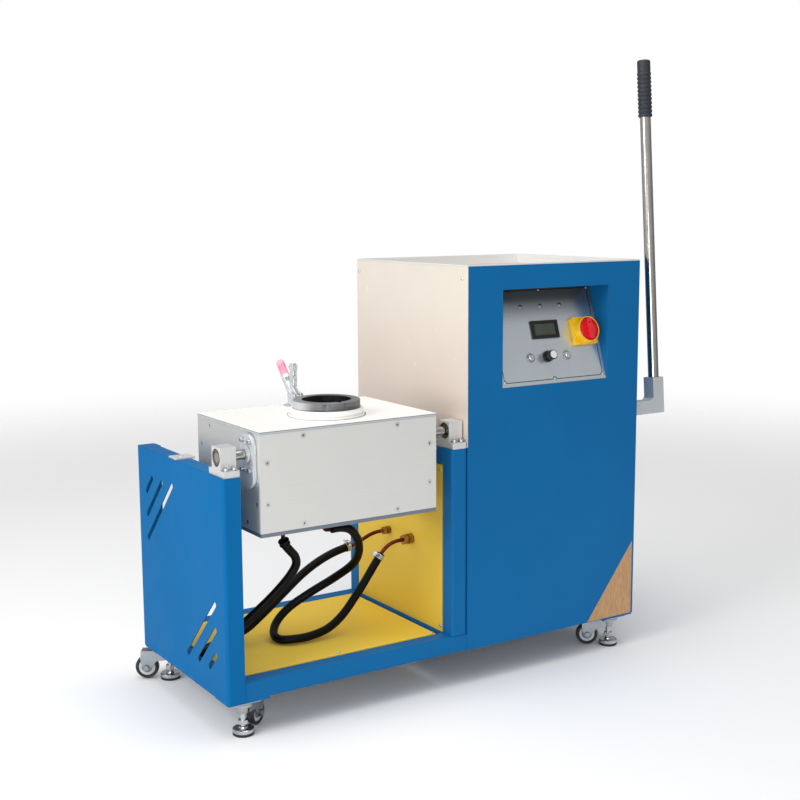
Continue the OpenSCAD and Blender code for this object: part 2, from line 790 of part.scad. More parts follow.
// Route of the return hose, which lies on the floor panel in one open loop
return_route = [[282, 64, 398], [308, 66, 397], [336, 73, 386], [361, 87, 358], [376, 108, 322],
    [378, 140, 286], [356, 182, 249], [312, 216, 213], [267, 232, 183], [232, 230, 156],
    [210, 206, 138], [208, 176, 133], [230, 156, 134], [270, 150, 135], [318, 154, 142],
    [362, 162, 163], [402, 166, 202], [431, 168, 236], [455, 170, 266], [474, 171, 289]];
hose_sides = 10;

// Hoses as plain closed tubes
module hose(route, start) {
    n = len(route);
    color("#17191b") swept(spline(route, 2), hose_d / 2, hose_sides, [0, 1, 0], start,
        unit(route[n - 1] - route[n - 2]));
}
module supply_hose() { hose(supply_route, [0, 0, -1]); }
module return_hose() { hose(return_route, [1, 0, 0]); }

// Unions on the bay wall: y of each, and the flats of its nut
wall_x = bay_l + 1;
port_z = 315;
port_y = [supply_route[len(supply_route) - 1][1] + 12, return_route[len(return_route) - 1][1] - 5];
port_flats = [17, 22];
port_l = [22, 28];
port_thread_d = 12;
tail_d = 9;

// Rounds the corner b of the path a, b, c with a curve of n steps
function corner(a, b, c, r, n = 5) = let (p = b + r * unit(a - b), q = b + r * unit(c - b))
    [for (i = [0 : n]) let (t = i / n) (1 - t) * (1 - t) * p + 2 * t * (1 - t) * b + t * t * q];

// Curve of n steps from a to c that leaves a along u and reaches c along v
function reach(a, u, c, v, n) = let (d = 0.4 * norm(c - a)) [for (i = [0 : n]) let (t = i / n, s = 1 - t)
    s * s * s * a + 3 * s * s * t * (a + d * u) + 3 * s * t * t * (c - d * v) + t * t * t * c];

// Bent copper tail from the end of a hose to its union
module copper_tail(route, k) {
    n = len(route);
    way = unit(route[n - 1] - route[n - 2]);
    a = route[n - 1] + seam * way;
    c = [wall_x - port_l[k] - 2, port_y[k], port_z];
    swept(concat(reach(a, way, c, [1, 0, 0], 10), [c + [3, 0, 0]]), tail_d / 2, 12, [0, 1, 0], way, [1, 0, 0]);
}

// Unions, lock nuts and copper tails on the bay wall, and the inlets at the back
module water_fittings() {
    color("#b98a3a") {
        for (k = [0, 1]) {
            translate([wall_x, port_y[k], port_z]) rotate([0, -90, 0]) {
                translate([0, 0, seam]) hexagon(port_flats[k], 0.42 * port_l[k]);
                cylinder(h = port_l[k] - 2, d = port_flats[k] - 4);
                translate([0, 0, 0.52 * port_l[k]]) hexagon(port_flats[k] - 1, 0.42 * port_l[k]);
                translate([0, 0, -14]) cylinder(h = 15, d = port_thread_d);
                translate([0, 0, -10]) hexagon(port_flats[k], 6);
            }
            copper_tail(k == 0 ? supply_route : return_route, k);
        }
        for (at = inlet_at) rear_inlet(at);
    }
}

// Hose spigot or cable gland that stands out of the rear cover
module rear_inlet(at) {
    big = at[2] > 20;
    r = at[2] / 2 - 0.5;
    long = 30 + sheet_t;
    translate([at[0], cabinet_d - sheet_t, at[1]]) rotate([-90, 0, 0]) {
        translate([0, 0, seam]) hexagon(at[2] + 5, 7);
        translate([0, 0, -12]) difference() {
            cylinder(h = 14, r = r);
            translate([0, 0, -cut]) cylinder(h = 20, r = big ? r - 3 : r - 3.5);
        }
        if (big) translate([0, 0, 7]) ring(r + 1.5, r - 3, long - 12);
        else translate([0, 0, 7]) {
            ring(r - 1, r - 3.5, long - 7);
            for (k = [0 : 2]) translate([0, 0, 7 + 5 * k]) difference() {
                cylinder(h = 4, r1 = r, r2 = r - 1);
                translate([0, 0, -cut]) cylinder(h = 8, r = r - 1.5);
            }
        }
    }
}

// Worm-drive clamp round the end of a hose
module hose_clamp(route) {
    n = len(route);
    way = unit(route[n - 1] - route[n - 2]);
    at = route[n - 1] - 14 * way;
    turn = atan2(way[1], way[0]);
    translate(at) rotate([0, 0, turn]) rotate([0, acos(way[2]), 0]) {
        ring(hose_d / 2 + 1.3, hose_d / 2 + 0.2, 11);
        translate([-hose_d / 2 - 6, -6, 1]) cube([5, 12, 9]);
        translate([-hose_d / 2 - 4, -14, 5.5]) rotate([-90, 0, 0]) {
            cylinder(h = 26, d = 5);
            hexagon(7, 5);
        }
    }
}
module hose_clamps() {
    color(steel) for (r = [supply_route, return_route]) hose_clamp(r);
}

// Fixed top plates of the casters with their ball races
module caster_plates() {
    color(steel) for (at = caster_at) translate([at[0], at[1], caster_plate_z - 3]) {
        difference() {
            translate([-29, -29, 0]) cube([58, 58, 3]);
            translate([0, 0, -cut]) cylinder(h = 5, d = stem_d + 0.8);
        }
        translate([0, 0, -5.7]) ring(22, stem_d / 2 + 0.4, 5.8);
    }
}

// Swivelling fork with its cheeks, stem housing and axle bolt
module fork(k) {
    gap = wheel_w / 2 + 1.5;
    t = 2.5;
    top = fork_top;
    far = caster_trail + 12;
    color(steel) translate([caster_at[k][0], caster_at[k][1], 0]) rotate(caster_turn[k]) {
        difference() {
            union() {
                translate([0, 0, top - 22]) cylinder(h = 22, d1 = 22, d2 = 27);
                translate([0, 0, top - 5]) cylinder(h = 5, r = 22);
                translate([0, -gap - t, top - 4]) cube([far, 2 * gap + 2 * t, 4]);
                for (y = [-gap, gap + t]) translate([0, y, 0]) rotate([90, 0, 0]) linear_extrude(t)
                    polygon([[6, top], [far, top - 2], [far + 2, top - 18], [caster_trail + 8, axle_z - 6],
                        [caster_trail - 7, axle_z - 7], [caster_trail - 24, top - 24], [6, top - 22]]);
            }
            translate([0, 0, top - 30]) cylinder(h = 40, r = stem_d / 2 + seam);
        }
        rod_y([caster_trail, -gap - t - 4, axle_z], axle_d, 2 * (gap + t + 4));
        for (y = [-gap - t - 4, gap + t]) translate([caster_trail, y, axle_z]) rotate([-90, 0, 0]) hexagon(12, 4);
    }
}

// Wheel: rubber tyre on a dished hub with a bore for the axle
module wheel(k) {
    r = wheel_d / 2;
    w = wheel_w / 2;
    hub = r - 6;
    color(dark) translate([caster_at[k][0], caster_at[k][1], 0]) rotate(caster_turn[k])
        translate([caster_trail, 0, axle_z]) rotate([90, 0, 0]) rotate_extrude() polygon([
            [axle_d / 2 + run_fit, -w], [axle_d / 2 + 4, -w], [axle_d / 2 + 6, -w + 3], [hub - 2, -w + 3],
            [hub, -w + 0.5], [r - 3, -w + 0.5], [r - 0.8, -w + 2.5], [r, -w + 5], [r, w - 5],
            [r - 0.8, w - 2.5], [r - 3, w - 0.5], [hub, w - 0.5], [hub - 2, w - 3],
            [axle_d / 2 + 6, w - 3], [axle_d / 2 + 4, w], [axle_d / 2 + run_fit, w]]);
}

// Levelling foot: flat thick pad on a rubber sole, hexagon and threaded stem
module foot(k) {
    r = pad_d / 2;
    color(steel) translate([caster_at[k][0], caster_at[k][1], 0]) {
        rotate_extrude() polygon([[0, 0], [r - 1.5, 0], [r, 1.5], [r, 5], [r - 1.5, 5.4], [r - 1.5, 6.2],
            [r, 6.6], [r, 13.4], [r - 1.5, 14.6], [r - 6, 15], [stem_d / 2 + 4, 15], [stem_d / 2 + 3, 18],
            [stem_d / 2, 19], [stem_d / 2, fork_top - 6], [stem_d / 2 - 1, fork_top - 5], [0, fork_top - 5]]);
        translate([0, 0, 23]) hexagon(19, 9);
    }
}

// Front plate of the box with countersunk holes
module box_front() {
    color(pale) difference() {
        translate([box_x, box_y, box_z]) cube([box_l, box_front_t, box_h]);
        front_screws() countersink();
    }
}
front_hole = [box_l / 2 - 100, box_h / 2 - 10, box_l / 2 - 17, 43];
module front_screws() {
    for (sx = [-1, 1], sz = [-1, 1], at = [[front_hole[0], front_hole[1]], [front_hole[2], front_hole[3]]])
        translate([box_x + box_l / 2 + sx * at[0], box_y, box_z + box_h / 2 + sz * at[1]])
            rotate([90, 0, 0]) children();
}
module side_screws() {
    for (side = [0, 1], sy = [-1, 1], at = [[box_d / 2 - 62, box_h / 2 - 14], [box_d / 2 - 18, 43]])
        for (sz = [-1, 1]) if (sy > 0 || sz < 0)
            translate([box_x + side * box_l, box_y + box_d / 2 + sy * at[0], box_z + box_h / 2 + sz * at[1]])
                rotate([0, side * 180 - 90, 0]) children();
}
module countersink() {
    translate([0, 0, -3]) cylinder(h = 3.1, d1 = screw_d + 0.2, d2 = screw_head_d + 0.6);
    translate([0, 0, -20]) cylinder(h = 21, d = screw_d + 0.3);
}

// Countersunk socket screw, flush with z = 0
module flat_screw(shank = 8) {
    difference() {
        union() {
            translate([0, 0, -3]) cylinder(h = 2.8, d1 = screw_d, d2 = screw_head_d);
            translate([0, 0, -shank]) cylinder(h = shank - 1, d = screw_d);
        }
        translate([0, 0, -2.4]) hexagon(3.5, 4);
    }
}
module box_screws() {
    color(steel) {
        front_screws() flat_screw(box_front_t);
        side_screws() flat_screw(box_shell_t);
        clamp_screws() button_screw(4, 5);
        flange_screws() socket_bolt(block_bolt_d, flange_t);
    }
}

// Sides and back of the box, folded from one sheet, with a hole behind each flange
module box_shell() {
    t = box_shell_t;
    y = box_y + box_front_t;
    color(pale) difference() {
        translate([box_x, y, box_z]) cube([box_l, box_d - box_front_t, box_h]);
        translate([box_x + t, y - cut, box_z - cut])
            cube([box_l - 2 * t, box_d - box_front_t - t + cut, box_h + 2 * cut]);
        rod_x([box_x - cut, axis_y, axis_z], shaft_d + 1, box_l + 2 * cut);
        side_screws() countersink();
    }
}

// White board on the box with the hole for the sleeve
module top_board() {
    color("white") difference() {
        translate([box_x - 0.5, box_y - 0.5, board_z + seam]) cube([box_l + 1, box_d + 1, top_board_t - seam]);
        translate([crucible_x, crucible_y, board_z - cut]) cylinder(h = 20, r = sleeve_r + seam);
        clamp_screws() translate([0, 0, -20]) cylinder(h = 21, d = 4.4);
        translate([box_x, box_y, board_top - 2.4]) difference() {
            translate([-5, -5, 0]) cube([box_l + 10, box_d + 10, 1.2]);
            translate([1, 1, -cut]) cube([box_l - 2, box_d - 2, 4]);
        }
    }
}

// Base plate with the holes for the coil leads
module box_base() {
    color("#8e959c") difference() {
        translate([box_x, box_y, box_z - box_base_t]) cube([box_l, box_d, box_base_t - seam]);
        for (at = [lead_a, lead_b]) translate([at[0], at[1], box_z - 20]) cylinder(h = 30, d = coil_tube_d + 2);
    }
}

// Refractory sleeve round the crucible, hung by its collar on the top board
module refractory_sleeve() {
    floor_t = 12;
    color("white") translate([crucible_x, crucible_y, 0]) difference() {
        union() {
            translate([0, 0, crucible_z - floor_t - 1]) cylinder(h = rim_z - crucible_z + floor_t, r = sleeve_r);
            translate([0, 0, board_top + seam]) cylinder(h = collar_h - seam, r1 = collar_r, r2 = collar_r - 0.8);
            translate([0, 0, board_top + seam]) cylinder(h = 5, r = collar_r + 3);
        }
        translate([0, 0, crucible_z - 1]) cylinder(h = 300, r = sleeve_in_r);
    }
}

// Graphite crucible with a flat rim and a pouring notch towards the front
module crucible() {
    r = crucible_bore_d / 2;
    t = crucible_wall;
    R = rim_d / 2;
    color("#4c4f52") translate([crucible_x, crucible_y, 0]) difference() {
        rotate_extrude($fn = 96) polygon([[0, crucible_z], [body_r - 6, crucible_z], [body_r - 2, crucible_z + 2],
            [body_r, crucible_z + 6], [body_r, rim_z], [R - 1, rim_z], [R, rim_z + 1], [R, rim_top - 1.5],
            [R - 1.5, rim_top], [r + 1, rim_top], [r, rim_top - 1], [r, crucible_z + t + 12],
            [r - 4, crucible_z + t + 4], [r - 12, crucible_z + t], [0, crucible_z + t]]);
        translate([0, -r + 2, rim_top + 1]) rotate([90, 0, 0]) cylinder(h = R - r - 5, d = 10);
    }
}

// Induction coil: one copper tube that rises through the base plate, winds round the sleeve and returns
lead_a = [supply_route[0][0], supply_route[0][1]];
lead_b = [return_route[0][0] - 20, return_route[0][1]];
coil_r = sleeve_r + 0.8 + coil_tube_d / 2;
coil_low = crucible_z - 8;
coil_c = [crucible_x, crucible_y];
lead_bend = 12;
to_a = lead_a - coil_c;
to_b = lead_b - coil_c;
angle_a = atan2(to_a[1], to_a[0]);
angle_b = atan2(to_b[1], to_b[0]);
coil_start = angle_a + acos(coil_r / norm(to_a));
run_out = 14;
coil_part = (angle_b - atan2(run_out, coil_r) - coil_start + 720) % 360;
coil_sweep = 360 * coil_turns + coil_part;
coil_steps = round(24 * coil_sweep / 360);
coil_top = coil_low + coil_pitch * coil_sweep / 360;
function coil_at(a) = [coil_c[0] + coil_r * cos(coil_start + a), coil_c[1] + coil_r * sin(coil_start + a),
    coil_low + coil_pitch * a / 360];
helix = [for (i = [0 : coil_steps]) coil_at(i * coil_sweep / coil_steps)];
function beside(r, z) = [coil_c[0] + r * cos(angle_b), coil_c[1] + r * sin(angle_b), z];
return_r = coil_r + 23;
return_low = box_z + 14;
lead_a_low = [lead_a[0], lead_a[1], supply_route[0][2] + seam];
lead_a_top = [lead_a[0], lead_a[1], coil_low];
lead_b_end = return_route[0] - [seam, 0, 0];
lead_b_low = [lead_b[0], lead_b[1], return_route[0][2]];
coil_path = concat([lead_a_low], corner(lead_a_low, lead_a_top, helix[0], lead_bend), helix,
    corner(helix[coil_steps], beside(norm([coil_r, run_out]), coil_top), beside(return_r, coil_top), 8, 3),
    corner(beside(coil_r, coil_top), beside(return_r, coil_top), beside(return_r, return_low), 10, 4),
    corner(beside(return_r, coil_top), beside(return_r, return_low), beside(coil_r, return_low), 10, 4),
    corner(beside(return_r, return_low), beside(norm(to_b), return_low), lead_b_low, 9, 4),
    corner(beside(norm(to_b), return_low), lead_b_low, lead_b_end, 12, 5), [lead_b_end]);
module induction_coil() {
    color("#b87333") swept(coil_path, coil_tube_d / 2, 6, [1, 0, 0], [0, 0, 1], [1, 0, 0]);
}

// Least gap between two turns of the coil, measured between ring centres at least half a turn apart
coil_gap = min([for (i = [0 : 2 : coil_steps - 12], j = [i + 12 : coil_steps]) norm(helix[i] - helix[j])])
    - coil_tube_d;
echo(least_gap_of_coil = coil_gap);

// Shafts on the tilt axis: a short one on the left, a long one through the cabinet on the right
module tilt_shafts() {
    color(steel) {
        shaft_piece(block_inset + 2, box_x);
        shaft_piece(box_x + box_l, frame_l + crank_start + 40);
    }
}
module shaft_piece(from, to) {
    rod_x([from, axis_y, axis_z], shaft_d, to - from);
}
flange_t = 9;
hub_l = 6;
flange_w = 57;
flange_up = 42;
flange_down = 71;
crank_start = 4;

// Flange with round ends and a hub, screwed to each side of the box
module shaft_flanges() {
    r = flange_w / 2;
    color("#c9cccf") for (side = [0, 1]) difference() {
        translate([box_x + side * box_l, axis_y, axis_z]) mirror([1 - side, 0, 0]) rotate([0, 90, 0])
            rotate([0, 0, 90]) {
                linear_extrude(flange_t) {
                    translate([0, r - flange_down]) circle(r);
                    translate([0, flange_up - r]) circle(r);
                    translate([-r, r - flange_down]) square([flange_w, flange_up + flange_down - 2 * r]);
                }
                cylinder(h = flange_t + hub_l, d = shaft_d + 19);
            }
        rod_x([box_x - 50, axis_y, axis_z], shaft_d + 2 * run_fit, box_l + 100);
        flange_screws() translate([0, 0, -flange_t - cut]) cylinder(h = flange_t + 2 * cut, d = block_bolt_d + 0.4);
    }
}
module flange_screws() {
    for (side = [0, 1], sy = [-1, 1], dz = [-32, 28])
        translate([box_x + side * (box_l + flange_t) - (1 - side) * flange_t, axis_y + sy * 17, axis_z + dz])
            rotate([0, side * 180 - 90, 0]) children();
}

// Frame of the lever: x from the cabinet, z up the leaning lever from the tilt axis
module on_lever() {
    translate([frame_l, axis_y, axis_z]) rotate([-lever_lean, 0, 0]) children();
}

// Crank block: an arm on the shaft and an upright that holds the lever tube, with a round inner corner
module crank_block() {
    a = crank_arm_h / 2;
    up_x = crank_reach - crank_w;
    f = 11;
    color("#b4b7ba") on_lever() difference() {
        translate([0, crank_w / 2, 0]) rotate([90, 0, 0]) linear_extrude(crank_w) difference() {
            union() {
                translate([crank_start + a, 0]) circle(a);
                translate([crank_start + a, -a]) square([crank_reach - crank_start - a, 2 * a]);
                translate([up_x, -a]) square([crank_w, crank_h + a]);
                translate([up_x - f, a - 0.1]) square([f + 0.1, f]);
            }
            translate([up_x - f, a + f]) circle(f);
        }
        rod_x([crank_start - cut, 0, 0], shaft_d + 2 * run_fit, 41 + cut);
        translate([up_x + crank_w / 2, 0, crank_h - lever_socket]) cylinder(h = 80, d = lever_d + 2 * run_fit);
    }
}
lever_socket = 52;
module lever_tube() {
    z = crank_h - lever_socket + seam;
    color(steel) on_lever() translate([crank_reach - crank_w / 2, 0, z]) ring(lever_d / 2, lever_d / 2 - 2, lever_l - z - 4);
}

// Rubber grip with ribs and a closed end
module lever_grip() {
    r = lever_d / 2 + 3;
    n = 11;
    plain = 0.2 * grip_l;
    step = (grip_l - plain) / n;
    inner = lever_d / 2 + run_fit;
    color(dark) on_lever() translate([crank_reach - crank_w / 2, 0, lever_l - grip_l]) rotate_extrude() polygon(
        concat([[inner, 0]],
            [for (k = [0 : n - 1], p = [[r - 0.6, 0], [r + 1, 1.5], [r + 1, step - 3.5], [r - 0.6, step - 2]])
                [p[0], k * step + p[1]]],
            [[r, n * step], [r, grip_l - 4], [r - 1.5, grip_l - 1], [r - 4, grip_l], [0, grip_l],
                [0, grip_l - 3.5], [inner, grip_l - 3.5]]));
}

// Toggle clamp: outlines are drawn in its own plane, y back and z up from the bar's pivot
clamp_y = crucible_y + clamp_back;
clamp_z = board_top + 24;
clamp_offset = 20;
handle_back = 22;
handle_turn = 42;
clamp_pin_d = 5;
tip_reach = clamp_z + clamp_offset - rim_top - 0.4;
module clamp_plate(x, t, y = 0) {
    translate([crucible_x + x, clamp_y + y, clamp_z]) rotate([90, 0, 90]) linear_extrude(t) children();
}
module link(a, b, w) {
    translate(a) circle(d = w);
    translate(b) circle(d = w);
    translate(a) rotate(atan2(b[1] - a[1], b[0] - a[0])) translate([0, -0.48 * w])
        square([norm(b - a), 0.96 * w]);
}
module clamp_screws() {
    for (x = [-11, 11], y = [-10, handle_back + 12]) translate([crucible_x + x, clamp_y + y, board_top + 2.5])
        children();
}

// Base of the clamp: a folded foot with two ears and the two pivot pins
module clamp_base() {
    color(steel) {
        difference() {
            union() {
                translate([crucible_x - 16, clamp_y - 14, board_top]) cube([32, handle_back + 32, 2.5]);
                for (x = [-11.8, 9.3]) clamp_plate(x, 2.5) {
                    link([0, 0], [handle_back, 0], 13);
                    translate([-5, board_top - clamp_z]) square([handle_back + 10, clamp_z - board_top]);
                }
            }
            clamp_screws() translate([0, 0, -10]) cylinder(h = 11, d = 4.4);
        }
        for (y = [0, handle_back]) rod_x([crucible_x - 13, clamp_y + y, clamp_z], clamp_pin_d, 26);
    }
}

// Bar of the clamp: two flat arms with the spindle and its rubber tip between them
module clamp_bar() {
    at = [clamp_offset, clamp_bar_l];
    color(steel) {
        difference() {
            union() {
                for (x = [-6.5, 4]) clamp_plate(x, 2.5) {
                    link([0, 0], [clamp_offset, 16], 13);
                    link([clamp_offset, 16], at, 11);
                    translate(at) circle(d = 18);
                }
                translate([crucible_x - 6.5, clamp_y + clamp_offset - 5.5, clamp_z + clamp_bar_l - 26])
                    cube([13, 11, 6]);
            }
            rod_x([crucible_x - 20, clamp_y, clamp_z], clamp_pin_d + 2 * run_fit, 40);
        }
        translate([crucible_x, clamp_y + clamp_offset - tip_reach, clamp_z + clamp_bar_l]) rotate([-90, 0, 0]) {
            cylinder(h = tip_reach + 14, d = 7.6);
            cylinder(h = tip_reach - 7.5, d = 12);
            translate([0, 0, tip_reach - 7.4]) cylinder(h = 1.6, d = 14);
            translate([0, 0, tip_reach + 5.8]) cylinder(h = 1.6, d = 14);
            translate([0, 0, tip_reach + 7.4]) hexagon(11, 5);
        }
    }
}

// Handle of the clamp: two flat cheeks that run into a round sleeve
module clamp_handle() {
    l = clamp_handle_l;
    way = [sin(handle_turn), cos(handle_turn)];
    color("#d9566e") {
        difference() {
            union() {
                for (x = [-8.8, 6.8]) clamp_plate(x, 2, handle_back) link([0, 0], 0.55 * l * way, 11);
            }
            rod_x([crucible_x - 20, clamp_y + handle_back, clamp_z], clamp_pin_d + 2 * run_fit, 40);
        }
        translate([crucible_x, clamp_y + handle_back, clamp_z]) rotate([-handle_turn, 0, 0])
            translate([0, 0, 0.47 * l]) {
                cylinder(h = 0.53 * l - 9.5, d = 19);
                translate([0, 0, 0.53 * l - 9.5]) sphere(d = 19);
            }
    }
}

placed() base_rails();
placed() portal(0);  // end_portal
placed() portal(bay_l);  // middle_portal
placed() cabinet_frame();
placed() end_panel();
placed() floor_panel();
placed() bay_wall();
placed() stop_plate();
placed() bearing_blocks();
placed() bearings();
placed() frame_screws();
placed() front_panel();
placed() control_recess();
placed() control_plate();
placed() left_panel();
placed() right_panel();
placed() rear_panel();
placed() top_tray();
placed() display();
placed() panel_bezels();
placed() switch_plate();
placed() generator();
placed() transformer();
placed() water_fittings();
placed() supply_hose();
placed() return_hose();
placed() hose_clamps();
placed() caster_plates();
placed() box_front();
placed() box_shell();
placed() top_board();
placed() box_base();
placed() box_screws();
placed() refractory_sleeve();
placed() crucible();
placed() induction_coil();
placed() tilt_shafts();
placed() shaft_flanges();
placed() crank_block();
placed() lever_tube();
placed() lever_grip();
placed() clamp_base();
placed() clamp_bar();
placed() clamp_handle();
placed() main_switch();
placed() power_knob();
placed() start_button();
placed() stop_button();
placed() fork(0);  // fork_front_left
placed() fork(1);  // fork_front_right
placed() fork(2);  // fork_back_left
placed() fork(3);  // fork_back_right
placed() wheel(0);  // wheel_front_left
placed() wheel(1);  // wheel_front_right
placed() wheel(2);  // wheel_back_left
placed() wheel(3);  // wheel_back_right
placed() foot(0);  // foot_front_left
placed() foot(1);  // foot_front_right
placed() foot(2);  // foot_back_left
placed() foot(3);  // foot_back_right
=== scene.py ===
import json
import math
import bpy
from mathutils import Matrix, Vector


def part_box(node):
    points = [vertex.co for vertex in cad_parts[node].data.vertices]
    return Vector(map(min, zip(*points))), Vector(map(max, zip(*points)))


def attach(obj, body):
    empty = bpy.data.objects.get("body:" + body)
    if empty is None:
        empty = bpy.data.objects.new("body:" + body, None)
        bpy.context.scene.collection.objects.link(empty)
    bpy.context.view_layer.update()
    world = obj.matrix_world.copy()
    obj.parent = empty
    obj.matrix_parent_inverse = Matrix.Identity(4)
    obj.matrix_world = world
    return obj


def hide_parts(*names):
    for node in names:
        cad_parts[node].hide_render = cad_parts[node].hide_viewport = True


bl_info = {
    "name": "Tilting gold furnace",
    "version": (1, 0, 0),
    "blender": (4, 5, 0),
    "location": "View3D > Sidebar > Furnace",
    "description": "Finishes, hoses and studio for the tilting induction furnace",
    "category": "Object",
}

import bpy
from bpy.props import FloatProperty, FloatVectorProperty, IntProperty, PointerProperty
from bpy.types import Operator, Panel, PropertyGroup
from mathutils import Matrix, Vector

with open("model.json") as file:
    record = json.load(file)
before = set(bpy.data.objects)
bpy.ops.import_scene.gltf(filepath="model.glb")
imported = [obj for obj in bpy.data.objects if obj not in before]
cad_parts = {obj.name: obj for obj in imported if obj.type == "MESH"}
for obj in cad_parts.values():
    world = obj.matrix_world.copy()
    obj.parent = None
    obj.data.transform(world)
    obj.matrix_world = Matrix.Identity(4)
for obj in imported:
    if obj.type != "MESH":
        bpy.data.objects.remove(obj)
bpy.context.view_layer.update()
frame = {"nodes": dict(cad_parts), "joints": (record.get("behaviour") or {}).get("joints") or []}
NODES = frame["nodes"]

# The machine's own frame starts at the left end, the front and the floor, and is drawn in millimetres
LEFT_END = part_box("end_portal")[0][0]
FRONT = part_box("base_rails")[0][1]

# Slope and thickness of the control plate, and the height of the panel meter on it
SLOPE = math.radians(18)
PLATE_T = 0.002
BEZEL_H = 0.042

# Corners of the machine, as the pieces of the casters are named
CORNERS = ("front_left", "front_right", "back_left", "back_right")

# Directions of the model
RIGHTWARD = (1, 0, 0)
BACKWARD = (0, 1, 0)
UPWARD = (0, 0, 1)

# The way to the right in the picture
PICTURE_RIGHT = (0.84064, -0.54157, -0.00489)

# Each lamp's place, the point it lights, its width and its share of the key light's power
LAMPS = (
    ("key_lamp", (-3.4, -0.6, 2.4), (0, 0.1, 0.5), 2.2, 1.0),
    ("top_lamp", (0.0, -0.4, 3.8), (0, 0.1, 0.5), 2.6, 0.6),
    ("fill_lamp", (-2.1, -2.7, 0.8), (-0.3, 0.1, 0.3), 1.4, 0.35),
    ("bay_lamp", (-0.28, -0.03, 0.39), (-0.26, 0.0, 0.12), 0.44, 0.0078),
)

# Routes of the two water hoses in the machine's own frame, as in the CAD source
SUPPLY_ROUTE = (
    (168, 70, 389), (174, 71, 376), (187, 74, 361), (200, 78, 346), (204, 82, 327),
    (194, 86, 307), (176, 92, 284), (154, 98, 261), (127, 104, 237), (95, 110, 211), (64, 118, 185),
    (38, 134, 161), (23, 158, 144), (26, 187, 136), (48, 207, 134), (80, 214, 138), (116, 215, 146),
    (150, 216, 158), (186, 220, 179), (226, 226, 204), (266, 232, 230), (304, 238, 253),
    (348, 244, 273), (394, 249, 287), (440, 252, 295),
)
RETURN_ROUTE = (
    (282, 64, 398), (308, 66, 397), (336, 73, 386), (361, 87, 358), (376, 108, 322),
    (378, 140, 286), (356, 182, 249), (312, 216, 213), (267, 232, 183), (232, 230, 156),
    (210, 206, 138), (208, 176, 133), (230, 156, 134), (270, 150, 135), (318, 154, 142),
    (362, 162, 163), (402, 166, 202), (431, 168, 236), (455, 170, 266), (474, 171, 289),
)


def machine_point(x, y, z):
    """A point of the machine's own frame, in millimetres, as a point of the model in metres."""
    return Vector((LEFT_END + x / 1000, FRONT + y / 1000, z / 1000))


def linear(code):
    """A six-digit colour code as linear red, green and blue."""
    channels = (int(code[i:i + 2], 16) / 255 for i in (0, 2, 4))
    return tuple(c / 12.92 if c <= 0.04045 else ((c + 0.055) / 1.055) ** 2.4 for c in channels)


def shade(colour, factor):
    """The colour made darker or lighter by a factor."""
    return tuple(min(1.0, max(0.0, c * factor)) for c in colour)


def centre(node):
    """Middle of a node's box, seen from above."""
    low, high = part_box(node)
    return (low[0] + high[0]) / 2, (low[1] + high[1]) / 2


def joint(name):
    """What the frame says about a joint: its place, axis and body."""
    return next(j for j in frame["joints"] if j["name"] == name)


# Settings


class FurnacePaint(PropertyGroup):
    """Colours of the painted and moulded pieces."""

    blue: FloatVectorProperty(name="Blue coat", description="Powder coat of frame and cabinet",
                              subtype="COLOR", size=3, min=0, max=1, default=linear("1066a0"))
    yellow: FloatVectorProperty(name="Yellow coat", description="Powder coat of the bay sheets",
                                subtype="COLOR", size=3, min=0, max=1, default=linear("ecc84c"))
    box: FloatVectorProperty(name="Box sheet", description="Brushed sheet of the furnace box",
                             subtype="COLOR", size=3, min=0, max=1, default=linear("d6d6d3"))
    side: FloatVectorProperty(name="Cabinet side", description="Bare sheet of the cabinet side and tray",
                              subtype="COLOR", size=3, min=0, max=1, default=linear("ece3d6"))
    red: FloatVectorProperty(name="Switch red", description="Handle of the main switch",
                             subtype="COLOR", size=3, min=0, max=1, default=linear("e01024"))


class FurnaceHoses(PropertyGroup):
    """Sizes of the water hoses."""

    diameter: FloatProperty(name="Diameter", description="Outer diameter of a hose",
                            subtype="DISTANCE", min=0.01, max=0.03, default=0.019)
    steps: IntProperty(name="Steps", description="Curve points between two route points",
                       min=2, max=16, default=8)


class FurnaceStudio(PropertyGroup):
    """Camera and light."""

    place: FloatVectorProperty(name="Camera place", description="Where the camera stands",
                               subtype="TRANSLATION", size=3, default=(-1.6417, -2.52625, 1.0847))
    forward: FloatVectorProperty(name="View direction", description="Where the camera looks",
                                 subtype="DIRECTION", size=3, default=(0.53489, 0.83162, -0.14933))
    lens: FloatProperty(name="Lens", description="Focal length on a 36 mm sensor, in millimetres",
                        min=20, max=200, default=57.69)
    key: FloatProperty(name="Key light", description="Power of the large lamp on the left",
                       subtype="POWER", min=0, max=2000, default=60)
    sky: FloatProperty(name="Room light", description="Strength of the white surroundings",
                       min=0, max=3, default=0.75)


# Finishes


def add_node(tree, kind, values=(), **settings):
    """A new node with its settings and input values; a value that is a socket is linked."""
    node = tree.nodes.new(kind)
    for key, value in settings.items():
        setattr(node, key, value)
    for key, value in dict(values).items():
        if isinstance(value, bpy.types.NodeSocket):
            tree.links.new(value, node.inputs[key])
        else:
            node.inputs[key].default_value = value
    return node


